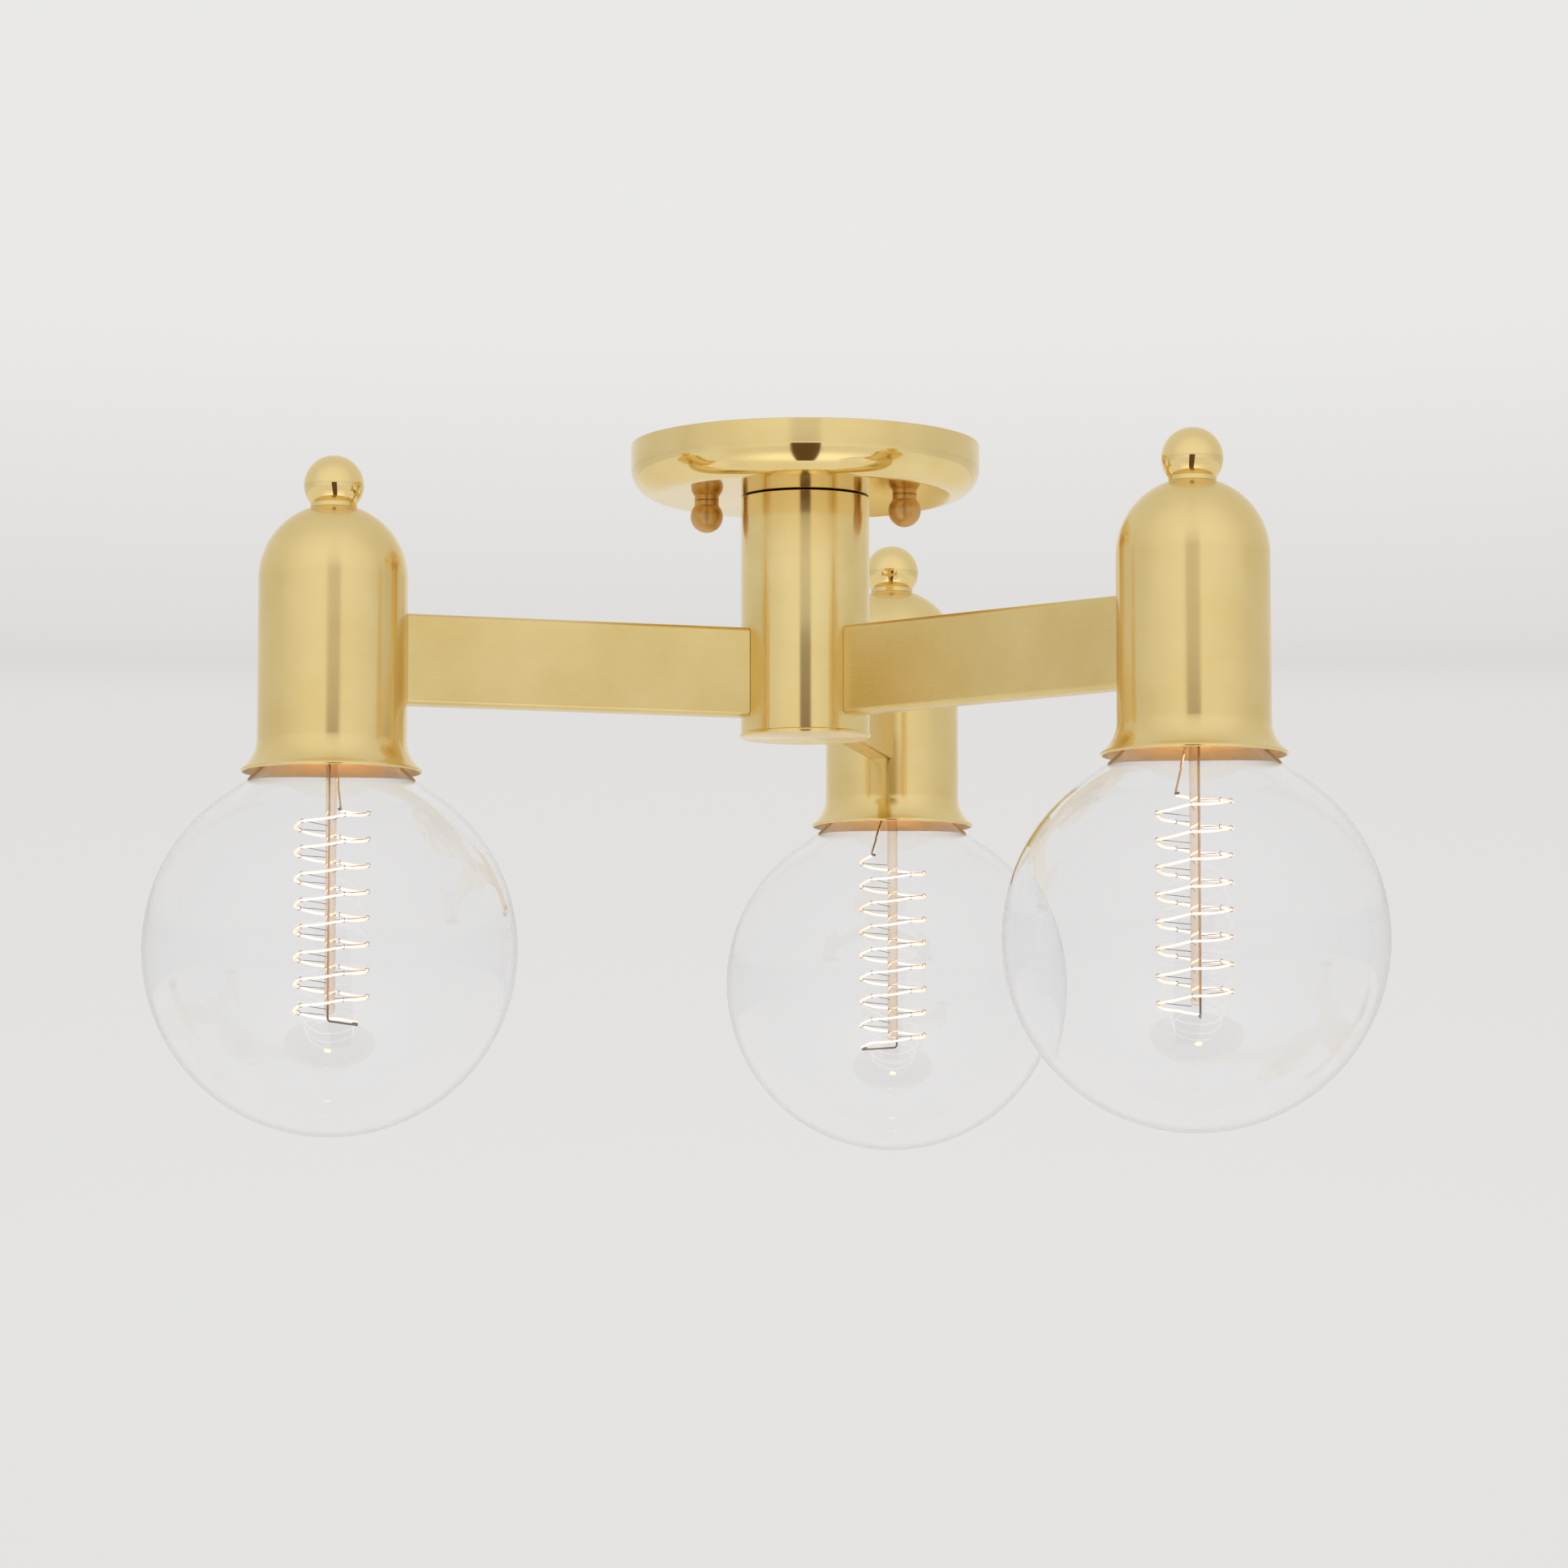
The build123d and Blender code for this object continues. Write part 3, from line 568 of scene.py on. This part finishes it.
def loft(bm, rings, ends=True):
    """Faces from ring to ring, all with as many points, and over the two ends where asked."""
    for lower, upper in zip(rings, rings[1:]):
        for i in range(len(lower)):
            j = (i + 1) % len(lower)
            bm.faces.new((lower[i], lower[j], upper[j], upper[i]))
    if ends:
        bm.faces.new(rings[0][::-1])
        bm.faces.new(rings[-1])


def tube(bm, points, radius, sides=10):
    """A round wire along points, closed at both ends, with no twist."""
    tangents = [
        (points[min(i + 1, len(points) - 1)] - points[max(i - 1, 0)]).normalized()
        for i in range(len(points))
    ]
    across = tangents[0].orthogonal().normalized()
    rings = []
    for point, along in zip(points, tangents):
        across = (across - along * across.dot(along)).normalized()
        other = along.cross(across)
        ring = [point + (across * cos(a) + other * sin(a)) * radius for a in round_steps(sides)]
        rings.append([bm.verts.new(corner) for corner in ring])
    loft(bm, rings)


def rounded_route(corners, radius, steps=6):
    """Points along a wire that is bent round at each corner of its route."""
    points = [corners[0]]
    for before, here, after in zip(corners, corners[1:], corners[2:]):
        centre, first, last = bend(before, here, after, radius)
        for step in range(steps + 1):
            points.append(centre + first.slerp(last, step / steps).normalized() * radius)
    return points + [corners[-1]]


def at(x, y, turn=0.0):
    """A place under the ceiling, in millimetres, turned about the vertical by degrees."""
    return Matrix.Translation((x * MM, y * MM, 0)) @ Matrix.Rotation(radians(turn), 4, "Z")


def at_lamp(lamp, turn=0.0):
    """A place on a lamp's axis, turned about it by degrees."""
    return at(*lamp_axis[lamp], turn)


# ---- canopy, ball nuts, column and bottom cap --------------------------------------------
def make_canopy():
    """A spun dish: satin side, rolled corner and a flat underside polished to a mirror."""
    floor = canopy_underside + canopy_wall
    inside = canopy_radius - canopy_wall
    corner_steps = 18
    outline = eased(
        [
            (pipe_hole, canopy_underside),
            (canopy_radius, canopy_underside, canopy_corner),
            (canopy_radius, canopy_rim, canopy_rim_round),
            (inside, canopy_rim, canopy_rim_round),
            (inside, floor, canopy_corner - canopy_wall),
            (pipe_hole, floor),
        ],
        steps=corner_steps,
    )
    polished_bands = range(corner_steps + 1)
    bm = turned(outline, segments=192, second=polished_bands)
    dress("canopy_dish", bm, [spun_brass, polished_dish], replaces=["canopy"])


def make_ball_nut(side):
    """A ball nut: a turned ball under a short collar, drilled and tapped from above."""
    radius = nut_size.y / 2
    centre = nut_bottom + radius
    start = degrees(acos(nut_collar / radius))
    collar = [
        (stud_radius, nut_top),
        (nut_collar, nut_top, nut_collar_edge),
        (nut_collar, nut_top - nut_collar_height),
    ]
    outline = [
        (0, nut_top - nut_thread_depth),
        (stud_radius, nut_top - nut_thread_depth),
        *eased(collar, 4, closed=False),
        *arc((0, centre), radius, start, -90, 40),
    ]
    place = nut_middle.x + side * (nut_size.x / 2 - radius)
    dress(
        f"canopy_ball_nut_{'right' if side > 0 else 'left'}",
        turned(outline, closed=False, segments=64),
        aged_brass,
        at(place, 0),
        replaces=["canopy_ball_nuts"],
    )


def make_column():
    """The column's tube with softly broken edges, and the pressed cap that closes it."""
    bore = column_radius - column_wall
    tube_outline = eased(
        [
            (column_radius, column_bottom, column_edge),
            (column_radius, column_top, column_edge),
            (bore, column_top, column_edge),
            (bore, column_bottom, column_edge),
        ],
        4,
    )
    dress(
        "column_tube",
        turned(tube_outline, segments=160),
        buffed_brass,
        replaces=["column"],
    )
    cap_size, cap_bottom, cap_top = span("column_bottom_cap")[1:]
    lip = cap_size.x / 2
    register = bore - register_gap
    hollow = register - register_wall
    cap_outline = eased(
        [
            (0, cap_bottom),
            (lip, cap_bottom, cap_lip_round),
            (lip, column_bottom, cap_edge),
            (register, column_bottom),
            (register, cap_top, cap_edge),
            (hollow, cap_top, cap_edge),
            (hollow, column_bottom),
            (0, column_bottom),
        ],
        5,
        closed=False,
    )
    dress(
        "column_bottom_cap_disc",
        turned(cap_outline, closed=False, segments=160),
        buffed_brass,
        replaces=["column_bottom_cap"],
    )


# ---- arms --------------------------------------------------------------------------------
def make_arm(lamp):
    """A flat tube with rounded edges, its ends coped to the column and to the bell."""
    half_width, half_height = arm_width / 2, (arm_high - arm_low) / 2
    section = eased(
        [
            (half_width, -half_height, arm_edge),
            (half_width, half_height, arm_edge),
            (-half_width, half_height, arm_edge),
            (-half_width, -half_height, arm_edge),
        ],
        6,
    )
    stations = 24
    bm = bmesh.new()
    rings = []
    for station in range(stations + 1):
        share = station / stations
        ring = []
        for y, z in section:
            start = sqrt((column_radius + hairline) ** 2 - y * y)
            end = arm_reach - sqrt((bell_radius + hairline) ** 2 - y * y)
            ring.append(bm.verts.new((start + (end - start) * share, y, arm_level + z)))
        rings.append(ring)
    loft(bm, rings)
    dress(
        f"arm_bar_{lamp}",
        bm,
        linished_brass,
        at(0, 0, degrees(arm_angle[lamp])),
        replaces=[f"arm_{lamp}"],
    )


# ---- bells and finials -------------------------------------------------------------------
def make_bell(lamp):
    """A spun bell: dome, straight tube and trumpet mouth with a rounded lip."""
    bore = bell_radius - bell_wall
    dome = bell_top - sqrt(bell_radius**2 - bell_seat**2)
    tube_bottom = dome - bell_tube
    flare = (bell_radius + flare_radius, tube_bottom)
    seat_angle = degrees(acos(bell_seat / bell_radius))
    inner_seat = bell_top - bell_wall
    inner_angle = degrees(asin((inner_seat - dome) / bore))
    end = 180 + flare_angle
    lip_centre = arc(flare, flare_radius + bell_wall / 2, end, end, 1)[0]
    outside = [
        (pipe_hole, bell_top),
        *arc((0, dome), bell_radius, seat_angle, 0, 40),
        *arc(flare, flare_radius, 180, end - lip_ease, 20),
        *arc(lip_centre, lip_radius, flare_angle, flare_angle - 180, 8),
    ]
    inside = [
        *arc(flare, flare_radius + bell_wall, end - lip_ease, 180, 20),
        *arc((0, dome), bore, 0, inner_angle, 40),
        (pipe_hole, inner_seat),
    ]
    # The inside bands take the darker brass, whose tone paints the shade inside the bell.
    raw_shaded_bands = range(len(outside) - 2, len(outside) + len(inside) - 1)
    bm = turned(outside + inside, segments=160, second=raw_shaded_bands)
    dress(
        f"bell_{lamp}",
        bm,
        [spun_brass, raw_shaded_inside],
        at_lamp(lamp),
        replaces=["bells"],
    )


def make_finial(lamp):
    """A polished ball on a short disc that clamps the bell."""
    centre = finial_top - finial_radius
    ball_foot = finial_bottom + finial_disc
    start = degrees(asin((ball_foot - centre) / finial_radius))
    outline = [
        (0, finial_bottom + finial_thread_depth),
        (pipe_hole, finial_bottom + finial_thread_depth),
        (pipe_hole, finial_bottom),
        (bell_seat - finial_edge, finial_bottom),
        (bell_seat, finial_bottom + finial_edge),
        *arc((0, centre), finial_radius, start, 90, 48),
    ]
    dress(
        f"bell_finial_{lamp}",
        turned(outline, closed=False, segments=96),
        mirror_brass,
        at_lamp(lamp),
        replaces=["bell_finials"],
    )


# ---- bulbs -------------------------------------------------------------------------------
globe_centre = globe_low + globe_radius


def neck_curve(inset):
    """The centre and radius of the hollow curve between the globe and its neck."""
    share = cos(radians(neck_start))
    radius = (globe_radius * share - neck_radius) / (1 - share)
    reach = globe_radius + radius
    return (reach * share, globe_centre + reach * sin(radians(neck_start))), radius + inset


def make_globe(lamp):
    """The blown globe and its neck, an even wall with a rounded edge inside the cap."""
    outer_neck, outer_bend = neck_curve(0)
    inner_neck, inner_bend = neck_curve(glass_wall)
    end = 180 + neck_start
    outline = [
        *arc((0, globe_centre), globe_radius, -90, neck_start, 150),
        *arc(outer_neck, outer_bend, end, 180, 18)[1:],
        (neck_radius, globe_high - neck_edge),
        (neck_radius - glass_wall / 2, globe_high),
        (neck_radius - glass_wall, globe_high - neck_edge),
        *arc(inner_neck, inner_bend, 180, end, 18),
        *arc((0, globe_centre), globe_radius - glass_wall, neck_start, -90, 150)[1:],
    ]
    globe = dress(
        f"blown_globe_{lamp}",
        turned(outline, closed=False, segments=320),
        globe_glass,
        at_lamp(lamp),
        f"bulb_{lamp}",
        [f"glass_globe_{lamp}"],
    )
    # Clear glass throws next to no shadow, and the filament's light goes through it.
    globe.visible_shadow = False


def make_screw_cap(lamp):
    """The bulb's cap of thin sheet, rolled into a round thread between two plain bands."""
    segments, steps = 96, 96
    thread_low, thread_high = cap_low + cap_plain_band, cap_high - cap_plain_band
    bm = bmesh.new()
    skins = []
    for wall in (0, cap_wall):
        rows = []
        for step in range(steps + 1):
            height = cap_low + (cap_high - cap_low) * step / steps
            inside = min(height - thread_low, thread_high - height)
            fade = min(1, max(0, inside / cap_thread_fade))
            row = []
            for angle in round_steps(segments):
                wave = 0.5 - 0.5 * cos(2 * pi * height / cap_thread_pitch + angle)
                radius = cap_radius - wall - cap_thread_depth * wave * fade
                row.append(bm.verts.new((radius * cos(angle), radius * sin(angle), height)))
            rows.append(row)
        skins.append(rows)
    outer, inner = skins
    loft(bm, outer + inner[::-1] + [outer[0]], ends=False)
    dress(
        f"threaded_cap_{lamp}",
        bm,
        sheet_brass,
        at_lamp(lamp),
        f"bulb_{lamp}",
        [f"screw_cap_{lamp}"],
        crease=60,
    )


skirt_bottom = neck_curve(0)[0][1]
tube_start = skirt_bottom - stem_skirt_height
tube_end = tube_start - stem_tube_length
pinch_end = tube_end - pinch_height


def make_stem(lamp):
    """The stem inside the neck: flared glass tube, flattened pinch and a long round rod."""
    skirt = (neck_radius - glass_wall) * stem_skirt_share
    outer = [
        (skirt, stem_high),
        (skirt, skirt_bottom, stem_skirt_bend),
        (stem_tube, tube_start, stem_tube_bend),
        (stem_tube, tube_end),
    ]
    inner = [(r - stem_wall, z, *bend_radius) for r, z, *bend_radius in outer[::-1]]
    flare = turned([*eased(outer, 8, False), *eased(inner, 8, False)], segments=64)

    # The pinch is the tube's end squeezed flat round the two lead wires. It reaches its full
    # width in its first third, and narrows over its last fifth.
    levels = 20
    pinch = bmesh.new()
    rings = []
    for level in range(levels + 1):
        share = level / levels
        squeeze = min(1, share * 3)
        narrowing = max(0, share - 0.8) / 0.2
        wide = stem_tube + (pinch_half_width - stem_tube) * squeeze
        wide += (pinch_foot_half_width - pinch_half_width) * narrowing
        thin = stem_tube + (pinch_half_thickness - stem_tube) * squeeze
        thin += (pinch_foot_half_thickness - pinch_half_thickness) * narrowing
        height = tube_end + (pinch_end - tube_end) * share
        ring = [(wide * cos(a), thin * sin(a), height) for a in round_steps(40)]
        rings.append([pinch.verts.new(point) for point in ring])
    loft(pinch, rings)

    rod_outline = [
        (0, pinch_end),
        (rod_radius, pinch_end),
        *arc((0, stem_low + rod_radius), rod_radius, 0, -90, 12),
    ]
    rod = turned(rod_outline, closed=False, segments=40)
    for part, bm in (("flare", flare), ("pinch", pinch), ("rod", rod)):
        dress(
            f"stem_{part}_{lamp}",
            bm,
            stem_glass,
            at_lamp(lamp, coil_turn[lamp]),
            f"bulb_{lamp}",
            [f"glass_stem_{lamp}"],
        )


coil_top = coil_high - coil_wire
coil_bottom = coil_low + coil_wire
coil_pitch = (coil_top - coil_bottom) / coil_turns
upward = Vector((0, 0, 1))


def coil_point(angle):
    """A point on the coil, by the angle wound down from its upper end.

    The wire is held at the hooks, and between them it hangs a little lower and nearer the rod.
    """
    slack = abs(sin(angle * hooks_per_turn / 2))
    height = coil_top - coil_pitch * angle / (2 * pi) - coil_sag * slack
    radius = coil_radius - coil_sag * slack
    return Vector((radius * cos(angle), -radius * sin(angle), height))


def make_filament(lamp):
    """The coiled filament, a round wire in one unbroken helix."""
    count = 56 * ceil(coil_turns)
    whole = 2 * pi * coil_turns
    bm = bmesh.new()
    tube(bm, [coil_point(whole * i / count) for i in range(count + 1)], glow_wire, 12)
    dress(
        f"filament_coil_{lamp}",
        bm,
        tungsten_glow,
        at_lamp(lamp, coil_turn[lamp]),
        f"bulb_{lamp}",
        [f"filament_{lamp}"],
        crease=80,
    )


def make_hooks(lamp):
    """Fine support hooks: straight wires from the rod that end in a small eye on the coil."""
    bm = bmesh.new()
    step = 2 * pi / hooks_per_turn
    for i in range(1, int(coil_turns * hooks_per_turn)):
        eye = coil_point(i * step)
        out = Vector((eye.x, eye.y, 0)).normalized()
        foot = out * (rod_radius - hook_root)
        foot.z = eye.z - hook_rise
        knee = foot.lerp(eye, hook_knee) + upward * hook_wire
        tube(bm, [foot, knee, eye], hook_wire, 5)
        loop_radius = coil_wire + hook_eye_slack
        loop = [eye + (out * cos(a) + upward * sin(a)) * loop_radius for a in round_steps(10)]
        tube(bm, loop, hook_wire, 5)
    dress(
        f"filament_hooks_{lamp}",
        bm,
        nickel_wire,
        at_lamp(lamp, coil_turn[lamp]),
        f"bulb_{lamp}",
        crease=80,
    )


def make_leads(lamp):
    """The two lead wires: one to each end of the coil, both up through the pinch to the cap."""
    cap_level = cap_high - lead_below_cap_top
    cap_bore = cap_radius - cap_wall
    insulator_top = span(f"base_insulator_{lamp}")[3]
    weld = coil_wire + lead_wire
    upper, lower = coil_point(0), coil_point(2 * pi * coil_turns)
    routes = [
        [
            Vector((cap_bore - lead_gap - lead_wire, 0, cap_level)),
            Vector((lead_offset, 0, cap_level)),
            Vector((lead_offset, 0, pinch_end - lead_bend)),
            upper + upward * weld,
        ],
        [
            Vector((-lead_offset, 0, insulator_top - lead_gap)),
            Vector((-lead_offset, 0, stem_low - 2 * lead_bend)),
            lower - upward * weld,
        ],
    ]
    short_run, long_run = (rounded_route(route, lead_bend) for route in routes)
    bare_from = long_run[1] + upward * bare_end
    coppered = bmesh.new()
    tube(coppered, short_run, lead_wire, 10)
    tube(coppered, [long_run[0], bare_from], lead_wire, 10)

    # The long lead's bent end is bare, and a crimped sleeve holds each end of the coil.
    bare = bmesh.new()
    tube(bare, [bare_from, *long_run[1:]], lead_wire, 10)
    for end, along in ((upper, weld / 2), (lower, -weld / 2)):
        inward = Vector((end.x, end.y, 0)).normalized()
        outer_end = end + upward * along - inward * lead_gap
        tube(bare, [outer_end - inward * crimp_length, outer_end], crimp_radius, 8)
    for name, bm, material, replaces in (
        ("lead_wires", coppered, copper_wire, [f"filament_leads_{lamp}"]),
        ("lead_ends", bare, nickel_wire, []),
    ):
        dress(
            f"{name}_{lamp}",
            bm,
            material,
            at_lamp(lamp, coil_turn[lamp]),
            f"bulb_{lamp}",
            replaces,
            crease=80,
        )


make_canopy()
make_ball_nut(1)
make_ball_nut(-1)
make_column()
for lamp in lamps:
    make_arm(lamp)
    make_bell(lamp)
    make_finial(lamp)
    make_globe(lamp)
    make_screw_cap(lamp)
    make_stem(lamp)
    make_filament(lamp)
    make_hooks(lamp)
    make_leads(lamp)

# ---- finishes of the pieces that keep their CAD mesh -------------------------------------
finish_of_slot = {
    "zinc_steel": zinc_plate,
    "green_steel": green_screw_paint,
    "satin_brass": spun_brass,
    "polished_brass": buffed_brass,
    "antique_brass": aged_brass,
    "black_plastic": phenolic,
    "bare_brass": sheet_brass,
    "wire_insulation": wire_jacket,
    "orange_plastic": splice_cap_plastic,
    "clear_glass": globe_glass,
    "cap_brass": sheet_brass,
    "cement": baked_cement,
    "black_glass": fired_glass,
    "solder": tin_solder,
    "filament": tungsten_glow,
    "lead_wire": nickel_wire,
}
for entry in frame["record"]["subparts"]:
    node = frame["nodes"][entry["node"]]
    for i in range(len(node.data.materials)):
        node.data.materials[i] = finish_of_slot[entry["material_slot"]]


# ---- the set: pale room, dark card, lit silk and soft lamps, in metres and degrees -------
camera_place = Vector((0.3330, -1.6647, -0.2764))
camera_turn = 11.56
camera_rise = 5.34
camera_lens = 113.6
camera_sensor = 36.0
ahead = Vector((-sin(radians(camera_turn)), cos(radians(camera_turn)), 0))
beside = Vector((ahead.y, -ahead.x, 0))
heart = Vector((0, 0, -0.12))  # the middle of the light, which the lamps and cards face

softbox_size = (1.2, 1.6)
softbox_light = 0.8
softbox_tone = "#FFFDF8"
silk_glow = 0.4
overhead_light = 0.6
overhead_spread = 60.0
glow_power = 0.016
floor_level = -1.6
floor_reach = 12.0

# The room's tone by the rise of the view (the sine of its angle over the horizon), with a faint
# dark line of painted shade in the corner where ceiling and wall meet.
room_tones_with_corner_shade = [
    (-1.0, "#E2E1DF"),
    (0.00, "#E5E4E2"),
    (0.112, "#E1E0DE"),
    (0.1184, "#DAD9D7"),
    (0.124, "#DFDEDC"),
    (0.185, "#EBEAE8"),
    (1.0, "#F0EFED"),
]
# How bright the room is from behind the light (-1) round its sides to behind the camera (1).
room_shares = [
    (-1.0, 1.0),
    (-0.95, 0.98),
    (-0.75, 0.88),
    (-0.3, 0.86),
    (0.1, 0.88),
    (0.45, 1.0),
    (0.8, 1.1),
    (1.0, 1.14),
]


def seen_from_heart(distance, rise):
    """A point in front of the light, by its level distance and its rise in degrees."""
    return heart - ahead * distance + Vector((0, 0, distance * tan(radians(rise))))


def set_sheet(name, bm, material):
    """A flat piece of the set."""
    mesh = bpy.data.meshes.new(name)
    bm.to_mesh(mesh)
    bm.free()
    mesh.materials.append(material)
    return linked(name, mesh)


def set_lamp(name, kind, energy, tone="#FFFFFF"):
    """A lamp of the set."""
    data = bpy.data.lights.new(name, kind)
    data.energy = energy
    data.color = linear(tone)[:3]
    return linked(name, data)


def hide_from(item, *rays):
    """Keeps a lamp or a sheet of the set out of these kinds of light."""
    for ray in rays:
        setattr(item, f"visible_{ray}", False)


def face_heart(item, front):
    """Turns a lamp or a sheet of the set so that its front looks at the light."""
    item.rotation_mode = "QUATERNION"
    item.rotation_quaternion = (heart - item.location).to_track_quat(front, "Y")


def ramp(tree, value, stops):
    """A colour that runs between stops at values from -1 to 1."""
    share = add(tree, "ShaderNodeMapRange", {"Value": value, "From Min": -1.0, "From Max": 1.0})
    made = add(tree, "ShaderNodeValToRGB", {"Fac": share.outputs["Result"]})
    for position, _ in stops[1:-1]:
        made.color_ramp.elements.new((position + 1) / 2)
    for stop, (position, tone) in zip(made.color_ramp.elements, stops):
        stop.color = tone
    return made.outputs["Color"]


def make_room():
    """A pale room: bright ceiling, a faint dark line of painted shade in the corner where it
    meets the wall, and an even wall.
    """
    world = bpy.data.worlds.new("pale_room")
    bpy.context.scene.world = world
    world.use_nodes = True
    tree = world.node_tree
    tree.nodes.clear()
    out = add(tree, "ShaderNodeOutputWorld")
    way = add(tree, "ShaderNodeTexCoord").outputs["Generated"]
    parts = add(tree, "ShaderNodeSeparateXYZ", {"Vector": way})
    wall = ramp(tree, parts.outputs["Z"], [(rise, linear(tone)) for rise, tone in room_tones_with_corner_shade])
    toward = add(tree, "ShaderNodeVectorMath", {0: way, 1: -ahead}, operation="DOT_PRODUCT")
    # A ramp holds no more than 1, so it carries half of each share.
    half = [(position, [share / 2] * 3 + [1.0]) for position, share in room_shares]
    share = ramp(tree, toward.outputs["Value"], half)
    strength = add(tree, "ShaderNodeMath", {0: share, 1: 2.0}, operation="MULTIPLY")
    light = add(
        tree, "ShaderNodeBackground", {"Color": wall, "Strength": strength.outputs["Value"]}
    )
    tree.links.new(light.outputs[0], out.inputs["Surface"])


def make_dark_card():
    """A dark card that runs down from before the camera to below the light.

    The bells, the finials, the column and the canopy mirror it as their dark bars and patch.
    """
    far_end, far_width = seen_from_heart(distance=1.7, rise=7.4), 0.58
    near_end, near_width = seen_from_heart(distance=0.5, rise=-63), 0.17
    corners = [
        far_end + beside * far_width / 2,
        far_end - beside * far_width / 2,
        near_end - beside * near_width / 2,
        near_end + beside * near_width / 2,
    ]
    bm = bmesh.new()
    bm.faces.new([bm.verts.new(corner) for corner in corners])
    bmesh.ops.subdivide_edges(bm, edges=bm.edges, cuts=3, use_grid_fill=True)
    card = set_sheet("dark_gap_below_camera", bm, painted_set("dark_backdrop_paint", "#62492C"))
    hide_from(card, "camera", "diffuse", "transmission", "shadow")


def make_softbox(name, in_front, aside):
    """A large soft lamp beside the camera, which only lights what is matte."""
    width, height = softbox_size
    # A flat lamp gives pi watts a square metre for each unit of its brightness.
    softbox = set_lamp(name, "AREA", softbox_light * pi * width * height, softbox_tone)
    softbox.data.shape = "RECTANGLE"
    softbox.data.size, softbox.data.size_y = width, height
    softbox.location = heart - ahead * in_front + beside * aside
    face_heart(softbox, "-Z")
    hide_from(softbox, "camera", "glossy", "transmission")


def make_lit_silk():
    """A sheet of lit silk below the camera, brightest in its middle, that only gloss shows."""
    material, tree, out = new_material("lit_silk")
    place = add(tree, "ShaderNodeTexCoord")
    off = add(tree, "ShaderNodeVectorMath", {0: place.outputs["Object"]}, operation="LENGTH")
    fade = add(
        tree,
        "ShaderNodeMapRange",
        {"Value": off.outputs["Value"], "To Min": silk_glow, "To Max": 0.0},
        interpolation_type="SMOOTHSTEP",
    )
    glow = add(
        tree,
        "ShaderNodeEmission",
        {"Color": linear("#FFFEFA"), "Strength": fade.outputs["Result"]},
    )
    clear = add(tree, "ShaderNodeBsdfTransparent")
    sheet = add(tree, "ShaderNodeAddShader", {0: glow.outputs[0], 1: clear.outputs[0]})
    tree.links.new(sheet.outputs[0], out.inputs["Surface"])
    bm = bmesh.new()
    bmesh.ops.create_grid(bm, x_segments=12, y_segments=12, size=1)
    silk = set_sheet("lit_silk", bm, material)
    silk.location = seen_from_heart(distance=0.9, rise=-46)
    silk.scale = (1.6, 0.72, 1)
    face_heart(silk, "Z")
    hide_from(silk, "camera", "diffuse", "transmission", "shadow")


def make_glow(lamp):
    """The filament's warm light on the bell's inside, cast from within its mouth."""
    glow = set_lamp(f"glow_{lamp}", "POINT", glow_power, "#FFBE5C")
    soft_radius, below_lip, behind_rod = 2, 2, 10
    glow.data.shadow_soft_size = soft_radius * MM
    x, y = lamp_axis[lamp]
    glow.location = (Vector((x, y, bell_bottom - below_lip)) + ahead * behind_rod) * MM
    hide_from(glow, "camera", "transmission")


def make_overhead():
    """The ceiling's broad, even light from above."""
    overhead = set_lamp("overhead_fill", "SUN", overhead_light)
    overhead.data.angle = radians(overhead_spread)
    hide_from(overhead, "glossy", "transmission")


def make_floor():
    """A plain pale floor far below the light."""
    bm = bmesh.new()
    bmesh.ops.create_grid(bm, x_segments=8, y_segments=8, size=floor_reach)
    floor = set_sheet("pale_floor", bm, painted_set("pale_floor_paint", "#E9E8E6"))
    floor.location.z = floor_level


def make_camera():
    """The camera, where the photograph was taken from."""
    data = bpy.data.cameras.new("camera")
    data.lens = camera_lens
    data.sensor_width = camera_sensor
    camera = linked("camera", data)
    camera.location = camera_place
    camera.rotation_euler = Euler((radians(90 + camera_rise), 0, radians(camera_turn)))
    bpy.context.scene.camera = camera
    bpy.context.scene.view_settings.view_transform = "Standard"


make_room()
for lamp in lamps:
    make_glow(lamp)
make_dark_card()
make_softbox("softbox_left", in_front=1.3, aside=-1.5)
make_softbox("softbox_right", in_front=1.2, aside=1.6)
make_lit_silk()
make_overhead()
make_floor()
make_camera()
